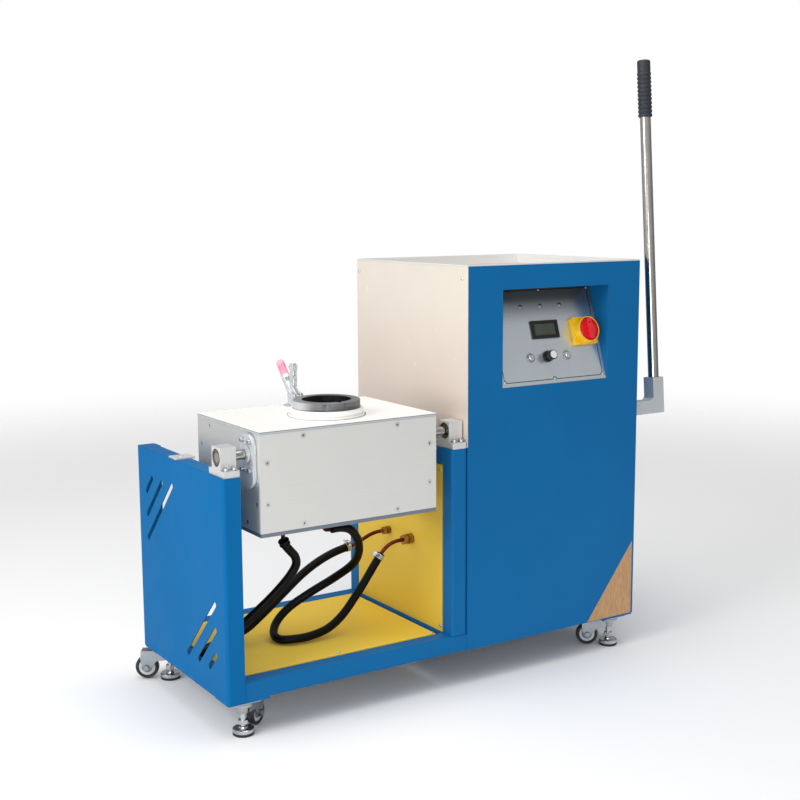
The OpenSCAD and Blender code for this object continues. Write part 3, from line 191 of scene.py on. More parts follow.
class Finish:
    """A procedural finish under construction: its nodes and its Principled shader."""

    def __init__(self, name, colour, roughness, metallic=0.0, specular=0.5):
        self.material = bpy.data.materials.new(name)
        self.material.use_nodes = True
        self.material.diffuse_color = (*colour, 1)
        self.tree = self.material.node_tree
        self.shader = self.tree.nodes["Principled BSDF"]
        self.set("Base Color", (*colour, 1))
        self.set("Roughness", roughness)
        self.set("Metallic", metallic)
        self.set("Specular IOR Level", specular)
        self.object_place = self.add("ShaderNodeTexCoord").outputs["Object"]

    def set(self, socket, value):
        """A constant straight on a socket of the shader."""
        self.shader.inputs[socket].default_value = value

    def add(self, kind, values=(), **settings):
        """A new node of this finish."""
        return add_node(self.tree, kind, values, **settings)

    def link(self, output, socket):
        """An output that drives a socket of the shader."""
        self.tree.links.new(output, self.shader.inputs[socket])

    def stretched(self, scale, turn=(0, 0, 0)):
        """Object coordinates, stretched along the axes and turned."""
        node = self.add("ShaderNodeMapping", {
            "Vector": self.object_place, "Scale": scale, "Rotation": turn})
        return node.outputs["Vector"]

    def noise(self, scale, detail=3.0, roughness=0.55, where=None):
        """Noise with this many waves in a metre, or in a unit of the coordinates that are given."""
        node = self.add("ShaderNodeTexNoise", {
            "Vector": where or self.object_place, "Scale": scale, "Detail": detail, "Roughness": roughness})
        return node.outputs["Fac"]

    def streaks(self, waves, detail=4):
        """Noise with a number of waves in a metre of its own along each axis."""
        return self.noise(1.0, detail, 0.6, self.stretched(waves))

    def ranged(self, value, low, high, to_low=0.0, to_high=1.0, smooth=False):
        """value brought from low..high to to_low..to_high."""
        node = self.add("ShaderNodeMapRange", {
            "Value": value, "From Min": low, "From Max": high, "To Min": to_low, "To Max": to_high})
        if smooth:
            node.interpolation_type = "SMOOTHSTEP"
        return node.outputs["Result"]

    def spread(self, pattern, low=0.0, high=1.0):
        """A noise pattern, whose values lie mostly from 0.3 to 0.7, spread over low..high."""
        return self.ranged(pattern, 0.3, 0.7, low, high)

    def over(self, value, limit, blend, amount=1.0):
        """0 where value is under limit and amount where it is over, with a narrow blend between them."""
        return self.ranged(value, limit - blend / 2, limit + blend / 2, 0, amount)

    def under(self, value, limit, blend, amount=1.0):
        """amount where value is under limit and 0 where it is over, with a narrow blend between them."""
        return self.ranged(value, limit - blend / 2, limit + blend / 2, amount, 0)

    def rough(self, pattern, low, high):
        """Roughness that follows a noise pattern from low to high."""
        self.link(self.spread(pattern, low, high), "Roughness")

    def mixed(self, factor, first, second):
        """Two colours mixed by factor."""
        node = self.add("ShaderNodeMix", data_type="RGBA")
        for index, value in ((6, first), (7, second)):
            if isinstance(value, bpy.types.NodeSocket):
                self.tree.links.new(value, node.inputs[index])
            else:
                node.inputs[index].default_value = (*value, 1)
        self.tree.links.new(factor, node.inputs[0])
        return node.outputs[2]

    def math(self, operation, first, second):
        """One step of arithmetic."""
        return self.add("ShaderNodeMath", {0: first, 1: second}, operation=operation).outputs[0]

    def vector(self, operation, *values):
        """The outputs of one step of vector arithmetic."""
        return self.add("ShaderNodeVectorMath", enumerate(values), operation=operation).outputs

    def along(self, origin, direction):
        """Distance of a point from origin along direction."""
        offset = self.vector("SUBTRACT", self.object_place, origin)["Vector"]
        return self.vector("DOT_PRODUCT", offset, direction)["Value"]

    def above(self, level):
        """Height of a point over a level."""
        return self.along((0, 0, level), UPWARD)

    def away(self, origin, direction=None):
        """Distance of a point from origin, or from the axis through it along direction."""
        offset = self.vector("SUBTRACT", self.object_place, origin)["Vector"]
        if direction is not None:
            offset = self.vector("CROSS_PRODUCT", offset, direction)["Vector"]
        return self.vector("LENGTH", offset)["Value"]

    def round_edges(self, radius):
        """Edges that catch the light as if they had this radius."""
        return self.add("ShaderNodeBevel", {"Radius": radius}, samples=4).outputs["Normal"]

    def edge_wear(self, radius, amount):
        """Nearly 0 on flat faces and rising to amount along sharp edges."""
        plain = self.add("ShaderNodeNewGeometry").outputs["Normal"]
        alike = self.vector("DOT_PRODUCT", self.round_edges(radius), plain)["Value"]
        return self.ranged(alike, 0.99, 0.75, 0, amount)

    def facing_down(self):
        """1 on faces that look down, and 0 elsewhere."""
        normal = self.add("ShaderNodeNewGeometry").outputs["True Normal"]
        return self.ranged(self.vector("DOT_PRODUCT", normal, (0, 0, -1))["Value"], 0.6, 0.8)

    def crevice_shade(self, distance, amount):
        """Painted shade: 0 in the open, rising to amount in sockets, seams and corners narrower than
        distance.
        """
        node = self.add("ShaderNodeAmbientOcclusion", {"Distance": distance}, samples=4)
        return self.ranged(node.outputs["AO"], 0.85, 0.4, 0, amount)

    def bump(self, height, strength, distance, normal=None):
        """Relief of this depth, on the plain surface or on rounded edges."""
        node = self.add("ShaderNodeBump", {"Height": height, "Strength": strength, "Distance": distance})
        if normal is not None:
            self.tree.links.new(normal, node.inputs["Normal"])
        self.link(node.outputs["Normal"], "Normal")


def powder_coat(name, colour, specular=0.08, below=None):
    """Baked powder coat: orange peel, uneven colour and gloss, rubbed edges, a colour for undersides."""
    f = Finish(name, colour, 0.42, specular=specular)
    base = f.mixed(f.spread(f.noise(2.2, 3, 0.5)), shade(colour, 0.93), shade(colour, 1.05))
    speck = f.ranged(f.noise(420, 2, 0.5), 0.35, 0.75, 0, 0.10)
    base = f.mixed(speck, base, shade(colour, 1.25))
    worn = f.math("MULTIPLY", f.edge_wear(0.0012, 0.5), f.ranged(f.noise(60, 4, 0.6), 0.4, 0.7, 0.2, 1))
    rubbed = tuple(0.65 * c + 0.12 for c in colour)
    base = f.mixed(worn, base, rubbed)
    if below:
        base = f.mixed(f.facing_down(), base, below)
    f.link(base, "Base Color")
    f.rough(f.noise(9, 4, 0.6), 0.36, 0.5)
    f.bump(f.noise(650, 2, 0.5), 0.08, 0.0004, f.round_edges(0.0012))
    return f.material


def brushed(name, colour, direction=RIGHTWARD, roughness=0.34, metallic=1.0, grain=1.0):
    """Brushed sheet or bar: long fine streaks along direction, plainer where grain is small."""
    f = Finish(name, colour, roughness, metallic=metallic)
    waves = tuple(6 if d else 900 for d in direction)
    coarse = f.math("MULTIPLY", f.streaks(waves), 0.65)
    fine = f.math("MULTIPLY", f.streaks(tuple(3 * w for w in waves), 2), 0.35)
    both = f.math("ADD", coarse, fine)
    dark, light = shade(colour, 1 - 0.09 * grain), shade(colour, 1 + 0.05 * grain)
    base = f.mixed(f.ranged(both, 0.35, 0.65), dark, light)
    # Painted shade: sockets, seams and corners narrower than 4 mm are darkened towards near black
    f.link(f.mixed(f.crevice_shade(0.004, 0.95), base, shade(colour, 0.08)), "Base Color")
    f.rough(both, roughness - 0.07 * grain, roughness + 0.1 * grain)
    f.bump(both, 0.12 * grain, 0.0002, f.round_edges(0.0008))
    return f.material


def cast_alloy(name, colour, roughness=0.38, metallic=0.55, reach=0.004):
    """Milled or bead-blasted light alloy with soft edges, with painted shade in corners narrower than
    reach.
    """
    f = Finish(name, colour, roughness, metallic=metallic)
    base = f.mixed(f.spread(f.noise(25, 4, 0.6)), shade(colour, 0.9), shade(colour, 1.05))
    # Painted shade in corners and gaps narrower than reach
    f.link(f.mixed(f.crevice_shade(reach, 0.8), base, shade(colour, 0.12)), "Base Color")
    f.rough(f.noise(90, 3, 0.5), roughness - 0.06, roughness + 0.1)
    f.bump(f.noise(1400, 2, 0.5), 0.12, 0.0002, f.round_edges(0.001))
    return f.material


def polished(name, colour, roughness=0.12):
    """Polished or plated metal with faint smears."""
    f = Finish(name, colour, roughness, metallic=1.0)
    base = f.mixed(f.ranged(f.noise(40, 5, 0.6), 0.4, 0.75), colour, shade(colour, 0.86))
    # Painted shade: sockets, seams and corners narrower than 3 mm are darkened towards near black
    f.link(f.mixed(f.crevice_shade(0.003, 0.9), base, shade(colour, 0.08)), "Base Color")
    f.rough(f.noise(30, 4, 0.6), roughness * 0.7, roughness * 1.5)
    f.bump(f.noise(700, 2, 0.5), 0.03, 0.0002, f.round_edges(0.0006))
    return f.material


def moulded(name, colour, roughness=0.3, peel=0.05, coat=0.0):
    """Moulded plastic with a slight skin texture."""
    f = Finish(name, colour, roughness)
    f.set("Coat Weight", coat)
    f.link(f.mixed(f.ranged(f.noise(30, 4, 0.6), 0.35, 0.7), colour, shade(colour, 0.85)), "Base Color")
    f.rough(f.noise(80, 3, 0.5), roughness - 0.04, roughness + 0.1)
    f.bump(f.noise(900, 2, 0.5), peel, 0.0003, f.round_edges(0.0008))
    return f.material


def rubbery(name, colour, roughness=0.55, grain=0.25):
    """Matt rubber with dust in its grain."""
    f = Finish(name, colour, roughness, specular=0.4)
    dust = f.ranged(f.noise(35, 6, 0.65), 0.5, 0.8, 0, 0.35)
    f.link(f.mixed(dust, colour, tuple(0.7 * c + 0.035 for c in colour)), "Base Color")
    f.rough(f.noise(60, 4, 0.6), roughness - 0.1, roughness + 0.12)
    f.bump(f.noise(1100, 3, 0.6), grain, 0.0003, f.round_edges(0.0008))
    return f.material


def hose_rubber():
    """Black water hose: smooth rubber with a little dust."""
    black = linear("020303")
    f = Finish("hose_rubber", black, 0.4, specular=0.13)
    dust = f.ranged(f.noise(28, 5, 0.65), 0.5, 0.85, 0, 0.10)
    f.link(f.mixed(dust, black, linear("1b1a18")), "Base Color")
    f.rough(f.noise(70, 4, 0.6), 0.3, 0.5)
    f.bump(f.noise(900, 3, 0.6), 0.12, 0.0003)
    return f.material


def wear(node, material):
    """The CAD node shows this material on all of its faces."""
    piece = NODES[node]
    if not piece.data.materials:
        piece.data.materials.append(material)
    for slot in piece.material_slots:
        slot.material = material


def new_piece(name, vertices, faces, material, body="machine", smooth=False):
    """A new mesh piece that rides on a body."""
    mesh = bpy.data.meshes.new(name)
    mesh.from_pydata([tuple(v) for v in vertices], [], faces)
    mesh.validate()
    mesh.materials.append(material)
    for polygon in mesh.polygons:
        polygon.use_smooth = smooth
    piece = bpy.data.objects.new(name, mesh)
    bpy.context.collection.objects.link(piece)
    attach(piece, body)


def turned_piece(name, origin, way, outline, material, body="machine", cap=False):
    """A turned piece: its outline gives distances along way from origin, each with a radius."""
    sides = 40
    side = way.orthogonal().normalized()
    other = way.cross(side)
    points = []
    for depth, radius in outline:
        for k in range(sides):
            angle = math.tau * k / sides
            spoke = math.cos(angle) * side + math.sin(angle) * other
            points.append(origin + depth * way + radius * spoke)
    faces = []
    for ring in range(0, (len(outline) - 1) * sides, sides):
        for k in range(sides):
            after = (k + 1) % sides
            faces.append((ring + k, ring + after, ring + sides + after, ring + sides + k))
    if cap:
        faces.append(tuple(range(len(points) - sides, len(points))))
    new_piece(name, points, faces, material, body, smooth=True)


# Camera and hoses


class FURNACE_OT_camera(Operator):
    """Place the camera at the photograph's viewpoint"""

    bl_idname = "furnace.camera"
    bl_label = "Camera"

    def execute(self, context):
        studio = context.scene.furnace_studio
        camera = bpy.data.cameras.new("studio_camera")
        camera.lens = studio.lens
        camera.sensor_width = 36
        camera.clip_end = 50
        eye = bpy.data.objects.new("studio_camera", camera)
        forward = Vector(studio.forward).normalized()
        right = Vector(PICTURE_RIGHT)
        right = (right - right.dot(forward) * forward).normalized()
        up = right.cross(forward)
        turn = Matrix((right, up, -forward)).transposed()
        eye.matrix_world = Matrix.Translation(Vector(studio.place)) @ turn.to_4x4()
        context.collection.objects.link(eye)
        context.scene.camera = eye
        return {"FINISHED"}


def smooth_route(points, steps):
    """Points of a smooth curve through the route, as the CAD source draws it."""
    smooth = []
    last = len(points) - 1
    for i in range(last):
        a, b, c, d = points[max(i - 1, 0)], points[i], points[i + 1], points[min(i + 2, last)]
        for k in range(steps):
            t = k / steps
            smooth.append(0.5 * (2 * b + (c - a) * t + (2 * a - 5 * b + 4 * c - d) * t * t
                                 + (3 * b - 3 * c + d - a) * t ** 3))
    smooth.append(points[last])
    return smooth


class FURNACE_OT_hoses(Operator):
    """Draw the two water hoses as smooth curves"""

    bl_idname = "furnace.hoses"
    bl_label = "Water hoses"

    def execute(self, context):
        hoses = context.scene.furnace_hoses
        rubber = hose_rubber()
        for name, route in (("supply_hose", SUPPLY_ROUTE), ("return_hose", RETURN_ROUTE)):
            points = smooth_route([machine_point(*p) for p in route], hoses.steps)
            curve = bpy.data.curves.new(name + "_rubber", "CURVE")
            curve.dimensions = "3D"
            curve.bevel_depth = hoses.diameter / 2
            curve.bevel_resolution = 6
            curve.use_fill_caps = True
            spline = curve.splines.new("POLY")
            spline.points.add(len(points) - 1)
            for point, place in zip(spline.points, points):
                point.co = (*place, 1)
            spline.use_smooth = True
            curve.materials.append(rubber)
            hose = bpy.data.objects.new(name + "_rubber", curve)
            context.collection.objects.link(hose)
            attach(hose, "machine")
            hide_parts(name)
        wear("hose_clamps", polished("clamp_steel", linear("c9cacb"), 0.22))
        self.boot(rubber, hoses.diameter / 2)
        return {"FINISHED"}

    def boot(self, rubber, radius):
        """Moulded end of the supply hose under the box: a thicker sleeve with two beads."""
        top = machine_point(*SUPPLY_ROUTE[0])
        way = (machine_point(*SUPPLY_ROUTE[1]) - top).normalized()
        # Distance from the hose's end and thickness over the hose, in millimetres
        thickness = ((0.2, 0.2), (0.2, 2.2), (1.2, 2.8), (3.0, 2.8), (4.2, 1.8),
                     (8.5, 1.8), (9.7, 2.6), (11.5, 2.6), (12.5, 1.4), (15.0, 0.3))
        outline = [(depth / 1000, radius + more / 1000) for depth, more in thickness]
        turned_piece("hose_boot", top, way, outline, rubber)


# Painted frame and cabinet


class FURNACE_OT_blue_frame(Operator):
    """Coat the welded frame and the cabinet sheets blue"""

    bl_idname = "furnace.blue_frame"
    bl_label = "Blue frame and cabinet"

    def execute(self, context):
        colour = tuple(context.scene.furnace_paint.blue)
        coat = powder_coat("blue_coat", colour)
        for node in ("base_rails", "end_portal", "middle_portal", "cabinet_frame", "front_panel",
                     "right_panel", "rear_panel"):
            wear(node, coat)
        # Painted shade: the faces of the recess that look down, its roof, are coloured dark grey
        wear("control_recess", powder_coat("blue_coat_recess", colour, below=linear("2c2f31")))
        wear("end_panel", powder_coat("blue_coat_matt", colour, 0.02))
        return {"FINISHED"}


class FURNACE_OT_yellow_sheets(Operator):
    """Coat the floor and the wall of the bay yellow"""

    bl_idname = "furnace.yellow_sheets"
    bl_label = "Yellow bay sheets"

    def execute(self, context):
        colour = tuple(context.scene.furnace_paint.yellow)
        # Painted light and shade: the wall's copy of the coat is 7% darker and the floor's 5% lighter, the
        # floor lightened against the shade under the box
        wear("bay_wall", powder_coat("yellow_coat", shade(colour, 0.93)))
        wear("floor_panel", powder_coat("yellow_coat_floor", shade(colour, 1.05), below=linear("9a9c9e")))
        return {"FINISHED"}


class FURNACE_OT_bare_sheets(Operator):
    """Give the cabinet's left side and top tray their bare, slightly stained sheet"""

    bl_idname = "furnace.bare_sheets"
    bl_label = "Cabinet side and tray"

    def execute(self, context):
        self.side(tuple(context.scene.furnace_paint.side))
        self.tray()
        return {"FINISHED"}

    def side(self, colour):
        """Cream sheet that is browner towards its foot, with clouds and pale flecks."""
        low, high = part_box("left_panel")
        f = Finish("bare_side", colour, 0.4, metallic=0.25)
        rise = f.ranged(f.above(low[2]), 0, high[2] - low[2], smooth=True)
        base = f.mixed(rise, linear("dccabd"), colour)
        cloud = f.ranged(f.noise(5, 5, 0.6), 0.35, 0.75, 0, 0.35)
        base = f.mixed(cloud, base, shade(colour, 0.86))
        flecks = f.ranged(f.noise(38, 2, 0.4), 0.70, 0.78, 0, 0.6)
        f.link(f.mixed(flecks, base, linear("f8f4ee")), "Base Color")
        f.rough(f.noise(14, 4, 0.6), 0.3, 0.48)
        f.bump(f.streaks((400, 400, 8), 3), 0.06, 0.0003, f.round_edges(0.001))
        wear("left_panel", f.material)

    def tray(self):
        """Pale sheet with a faintly banded floor, and painted light and shade by face: inner walls painted
        white as if lit, outer left and front faces painted darker as shade, and a painted highlight along
        the rim.
        """
        low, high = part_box("top_tray")
        depth, rim, sheet = 0.023, 0.003, 0.0004
        f = Finish("tray_sheet", linear("d8d2cc"), 0.34, metallic=0.45)
        grain = f.streaks((900, 6, 900))
        height = f.above(high[2])
        bands = f.ranged(f.streaks((1.6, 26, 26), 3), 0.42, 0.60)
        floor = f.mixed(bands, linear("d0cbc5"), linear("e9e6e1"))
        # Painted light: the inner walls above the floor are near white
        base = f.mixed(f.over(height, -depth, 0.001), floor, linear("f6f5f3"))
        # Painted shade on the outer left face, tan
        left = f.under(f.along((low[0], 0, 0), RIGHTWARD), sheet, 0.0004)
        base = f.mixed(left, base, linear("b3a498"))
        # Painted shade on the outer front face, dark grey
        front = f.under(f.along((0, low[1], 0), BACKWARD), sheet, 0.0004)
        base = f.mixed(front, base, linear("6d6864"))
        # Painted highlight along the top of the rim
        base = f.mixed(f.over(height, -rim, 0.0008), base, linear("fbfaf9"))
        base = f.mixed(f.ranged(grain, 0.35, 0.65, 0, 0.12), base, linear("a59f99"))
        f.link(base, "Base Color")
        f.rough(grain, 0.28, 0.42)
        f.bump(grain, 0.06, 0.0002, f.round_edges(0.0008))
        wear("top_tray", f.material)


# Tilting parts


class FURNACE_OT_tilt_axis(Operator):
    """Finish the bearing blocks, shafts, flanges and their screws"""

    bl_idname = "furnace.tilt_axis"
    bl_label = "Bearings and shafts"

    def execute(self, context):
        wear("bearing_blocks", cast_alloy("block_alloy", linear("dfe0df")))
        wear("stop_plate", cast_alloy("plate_alloy", linear("e4e4e2"), 0.45))
        wear("shaft_flanges", cast_alloy("flange_alloy", linear("d8dde1"), 0.34, 0.5))
        wear("bearings", polished("bearing_steel", linear("8f8478"), 0.28))
        wear("tilt_shafts", polished("shaft_steel", linear("b4b3b0"), 0.16))
        screws = polished("screw_steel", linear("dcdddf"), 0.28)
        for node in ("frame_screws", "box_screws"):
            wear(node, screws)
        return {"FINISHED"}


class FURNACE_OT_box(Operator):
    """Finish the furnace box, its white top board and its base plate"""

    bl_idname = "furnace.box"
    bl_label = "Furnace box"

    def execute(self, context):
        colour = tuple(context.scene.furnace_paint.box)
        front = brushed("box_front_sheet", colour, RIGHTWARD, 0.45, metallic=0.25, grain=0.5)
        shell = brushed("box_side_sheet", shade(colour, 1.02), BACKWARD, 0.36, metallic=0.7, grain=0.6)
        wear("box_front", front)
        wear("box_shell", shell)
        wear("box_base", brushed("base_plate_steel", linear("7d8793"), RIGHTWARD, 0.4, metallic=0.7))
        self.board()
        return {"FINISHED"}

    def board(self):
        """White fibre board whose edge below the rounding of its top is painted grey as shade, with painted
        shade in its seams and corners.
        """
        top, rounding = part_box("top_board")[1][2], 0.0018
        f = Finish("white_board", linear("f4f2ee"), 0.55, specular=0.35)
        speck = f.ranged(f.noise(160, 5, 0.7), 0.55, 0.85, 0, 0.35)
        face = f.mixed(speck, linear("f5f3ef"), linear("ddd8cf"))
        # Painted shade: the edge below the rounded top is grey-blue, the top white
        face = f.mixed(f.over(f.above(top), -rounding, 0.0002), linear("b9bfc4"), face)
        # Painted shade in seams and corners
        f.link(f.mixed(f.crevice_shade(0.005, 0.8), face, linear("55585b")), "Base Color")
        f.bump(f.noise(500, 4, 0.6), 0.1, 0.0004, f.round_edges(0.001))
        wear("top_board", f.material)


class FURNACE_OT_crucible(Operator):
    """Finish the crucible, its refractory sleeve and the copper coil"""

    bl_idname = "furnace.crucible"
    bl_label = "Crucible and coil"

    def execute(self, context):
        self.graphite()
        self.sleeve()
        self.coil()
        self.collar_screws()
        return {"FINISHED"}

    def graphite(self):
        """Streaked grey graphite with turning marks, a painted highlight on the side towards the camera's
        left and painted dark shade inside the bore.
        """
        bore_r, highlight_side = 0.054, (-0.84, 0.54, 0)
        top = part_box("crucible")[1][2]
        middle = (*centre("crucible"), top)
        f = Finish("graphite", linear("8a8c8e"), 0.36, metallic=0.75)
        radius = f.away(middle, UPWARD)
        turning = f.add("ShaderNodeCombineXYZ", {"X": f.math("MULTIPLY", radius, 1400)}).outputs[0]
        rings = f.math("MULTIPLY", f.noise(1.0, 3, 0.6, turning), 0.4)
        skin = f.math("ADD", rings, f.math("MULTIPLY", f.streaks((6, 6, 210)), 0.6))
        base = f.mixed(f.ranged(skin, 0.38, 0.60), linear("3a3c3e"), linear("898b8d"))
        marks = f.ranged(f.streaks((70, 70, 14)), 0.54, 0.70, 0, 0.7)
        base = f.mixed(marks, base, linear("333537"))
        # Painted highlight: the side towards the camera's left is mixed towards near white, as a reflection
        # of the bright room
        rubbed = f.ranged(f.along(middle, highlight_side), 0.02, 0.06, 0, 0.9, smooth=True)
        base = f.mixed(rubbed, base, linear("e4e5e6"))
        rim = f.ranged(f.above(top), -0.002, -0.0005, 0, 0.75)
        base = f.mixed(rim, base, linear("939597"))
        # Painted shade: the bore is near black inside
        bore_shade = f.under(radius, bore_r, 0.001, 0.92)
        f.link(f.mixed(bore_shade, base, linear("161719")), "Base Color")
        f.rough(skin, 0.34, 0.58)
        f.bump(skin, 0.1, 0.0004, f.round_edges(0.001))
        wear("crucible", f.material)

    def sleeve(self):
        """White porous refractory with painted shade in its corners."""
        f = Finish("refractory", linear("f1efea"), 0.85, specular=0.2)
        pores = f.ranged(f.noise(240, 5, 0.7), 0.5, 0.75, 0, 0.25)
        face = f.mixed(pores, linear("fbfaf7"), linear("cfcac0"))
        # Painted shade in corners and seams narrower than 6 mm
        f.link(f.mixed(f.crevice_shade(0.006, 0.7), face, linear("77746d")), "Base Color")
        f.bump(f.noise(420, 5, 0.7), 0.35, 0.0006, f.round_edges(0.0015))
        wear("refractory_sleeve", f.material)

    def coil(self):
        """Copper tube that is blackened where its ends come out under the box."""
        f = Finish("copper", linear("b36a3f"), 0.3, metallic=1.0)
        tube = f.mixed(f.ranged(f.noise(60, 5, 0.65), 0.4, 0.75), linear("b9734a"), linear("6e4029"))
        outside = f.under(f.above(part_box("box_base")[0][2]), -0.0005, 0.001, 0.9)
        f.link(f.mixed(outside, tube, linear("1b1512")), "Base Color")
        f.rough(f.noise(90, 4, 0.6), 0.24, 0.45)
        f.bump(f.noise(500, 3, 0.6), 0.08, 0.0003)
        wear("induction_coil", f.material)

    def collar_screws(self):
        """Two dark set screws in the lower ring of the white collar."""
        low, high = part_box("refractory_sleeve")
        collar_r, over_board = (high[0] - low[0]) / 2, 0.0028
        middle = Vector((*centre("refractory_sleeve"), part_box("top_board")[1][2] + over_board))
        steel = polished("set_screw_steel", linear("1f2123"), 0.4)
        # Distance out of the collar and radius, in millimetres: the head and its socket
        profile = ((-1.5, 2.6), (0.8, 2.6), (1.3, 2.2), (1.3, 1.3), (-0.4, 1.2))
        outline = [(depth / 1000, radius / 1000) for depth, radius in profile]
        for name, degrees in (("collar_screw_left", 147), ("collar_screw_right", -33)):
            bearing = math.radians(degrees)
            way = Vector((math.cos(bearing), math.sin(bearing), 0))
            turned_piece(name, middle + collar_r * way, way, outline, steel, "furnace", cap=True)


class FURNACE_OT_clamp(Operator):
    """Finish the toggle clamp with its dipped handle"""

    bl_idname = "furnace.clamp"
    bl_label = "Toggle clamp"

    def execute(self, context):
        zinc_colour = linear("e9edf0")
        zinc = cast_alloy("clamp_zinc", zinc_colour, 0.24, 0.65)
        for node in ("clamp_base", "clamp_bar"):
            wear(node, zinc)
        # The dip starts this far from the handle's pivot
        dip_start, bare_metallic = 0.05485, 0.65
        f = Finish("dipped_grip", linear("e0567a"), 0.38)
        dipped = f.over(f.away(joint("clamp_handle_swing")["pos_m"]), dip_start, 0.0007)
        skin = f.mixed(f.ranged(f.noise(45, 4, 0.6), 0.4, 0.7), linear("f4b0c3"), linear("dd7f9c"))
        f.link(f.mixed(dipped, zinc_colour, skin), "Base Color")
        f.link(f.ranged(dipped, 0, 1, bare_metallic, 0), "Metallic")
        f.rough(f.noise(60, 3, 0.6), 0.28, 0.42)
        f.bump(f.noise(600, 3, 0.6), 0.08, 0.0003, f.round_edges(0.0008))
        wear("clamp_handle", f.material)
        return {"FINISHED"}


class FURNACE_OT_lever(Operator):
    """Finish the crank block, the polished lever tube and its ribbed grip"""

    bl_idname = "furnace.lever"
    bl_label = "Tilting lever"

    def execute(self, context):
        wear("crank_block", brushed("crank_alloy", linear("d9dee0"), UPWARD, 0.32, metallic=0.6, grain=0.6))
        wear("lever_tube", polished("lever_steel", linear("bdb9b5"), 0.13))
        wear("lever_grip", rubbery("grip_rubber", linear("2a3138"), 0.5, 0.2))
        return {"FINISHED"}


# Control plate


def plate_frame():
    """Lower left corner of the control plate's front face, its way up the slope and its way out."""
    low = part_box("control_plate")[0]
    out = Vector((0, -math.cos(SLOPE), math.sin(SLOPE)))
    up = Vector((0, math.sin(SLOPE), math.cos(SLOPE)))
    return Vector((low[0], low[1], low[2] + PLATE_T * math.sin(SLOPE))), up, out


def arc(x, u, radius, start, sweep, steps):
    """Points of a clockwise arc round x, u."""
    angles = (math.radians(start - step * sweep / steps) for step in range(steps + 1))
    return [(x + radius * math.cos(angle), u + radius * math.sin(angle)) for angle in angles]


def border_path(wide, tall, inset, round_screw):
    """Rectangle that steps inwards round the screws in its corners and half way along its long sides."""
    path = []
    corners = ((inset, inset, 0), (wide - inset, inset, 90),
               (wide - inset, tall - inset, 180), (inset, tall - inset, 270))
    for x, u, turn in corners:
        path += arc(x, u, round_screw, turn + 90, 90, 8)
        if turn in (0, 180):
            path += arc(wide / 2, u, round_screw, turn + 180, 180, 12)
    return path


class FURNACE_OT_control_plate(Operator):
    """Finish the brushed control plate with its printed border, lamps and panel meter"""

    bl_idname = "furnace.control_plate"
    bl_label = "Control plate"

    def execute(self, context):
        low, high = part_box("control_plate")
        wide = high[0] - low[0]
        tall = (high[2] - low[2] - PLATE_T * math.sin(SLOPE)) / math.cos(SLOPE)
        self.sheet(tall)
        wear("panel_bezels", polished("bezel_steel", linear("b9bcbe"), 0.15))
        wear("display", moulded("meter_frame", linear("0b0e0d"), 0.32))
        self.border(border_path(wide, tall, inset=0.0097, round_screw=0.0055))
        self.meter_window()
        return {"FINISHED"}

    def border(self, path):
        """Printed line along the path, as a thin band just over the sheet."""
        corner, up, out = plate_frame()
        half_width, lift = 0.0008, 0.00012
        points = []
        for index, (x, u) in enumerate(path):
            before, after = Vector(path[index - 1]), Vector(path[(index + 1) % len(path)])
            way = (after - before).normalized()
            for side in (-half_width, half_width):
                across = (x - side * way.y) * Vector(RIGHTWARD)
                points.append(corner + across + (u + side * way.x) * up + lift * out)
        count = len(points)
        faces = [(i, (i + 2) % count, (i + 3) % count, i + 1) for i in range(0, count, 2)]
        ink = moulded("printed_line", linear("0d1114"), 0.4)
        new_piece("printed_border", points, faces, ink)

    def sheet(self, tall):
        """Brushed sheet with a painted shadow of the recess's roof over its upper part, and painted shade
        in its sockets and seams.
        """
        corner, up = plate_frame()[:2]
        colour = linear("d8e1e7")
        f = Finish("control_sheet", colour, 0.25, metallic=0.8)
        grain = f.streaks((6, 900, 900))
        base = f.mixed(f.ranged(grain, 0.35, 0.65), shade(colour, 0.97), shade(colour, 1.02))
        # Painted shadow of the recess's roof: dark grey rising over the upper part of the plate
        roof_shadow = f.ranged(f.along(corner, up), 0.58 * tall, 0.86 * tall, 0, 0.7, smooth=True)
        base = f.mixed(roof_shadow, base, linear("33373a"))
        # Painted shade in sockets and seams
        f.link(f.mixed(f.crevice_shade(0.003, 0.9), base, shade(colour, 0.08)), "Base Color")
        f.rough(grain, 0.23, 0.27)
        f.bump(grain, 0.02, 0.0002, f.round_edges(0.0006))
        wear("control_plate", f.material)

    def meter_window(self):
        """Grey-green liquid crystal pane behind the meter's frame."""
        low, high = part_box("display")
        half_w, half_h, depth = 0.0305, 0.0135, 0.0018
        f = Finish("meter_pane", linear("4b5347"), 0.18)
        f.link(f.mixed(f.spread(f.noise(20, 3, 0.5)), linear("333b34"), linear("465046")), "Base Color")
        f.rough(f.noise(60, 3, 0.5), 0.12, 0.25)
        f.bump(f.noise(400, 2, 0.5), 0.02, 0.0002)
        up, out = plate_frame()[1:]
        # The lower edge of the bezel's front face is the lowest y of the meter's box
        edge = Vector((centre("display")[0], low[1], high[2] - BEZEL_H * math.cos(SLOPE)))
        middle = edge + BEZEL_H / 2 * up - depth * out
        across, rise = half_w * Vector(RIGHTWARD), half_h * up
        corners = (middle - across - rise, middle + across - rise,
                   middle + across + rise, middle - across + rise)
        new_piece("meter_pane", corners, [(0, 1, 2, 3)], f.material)


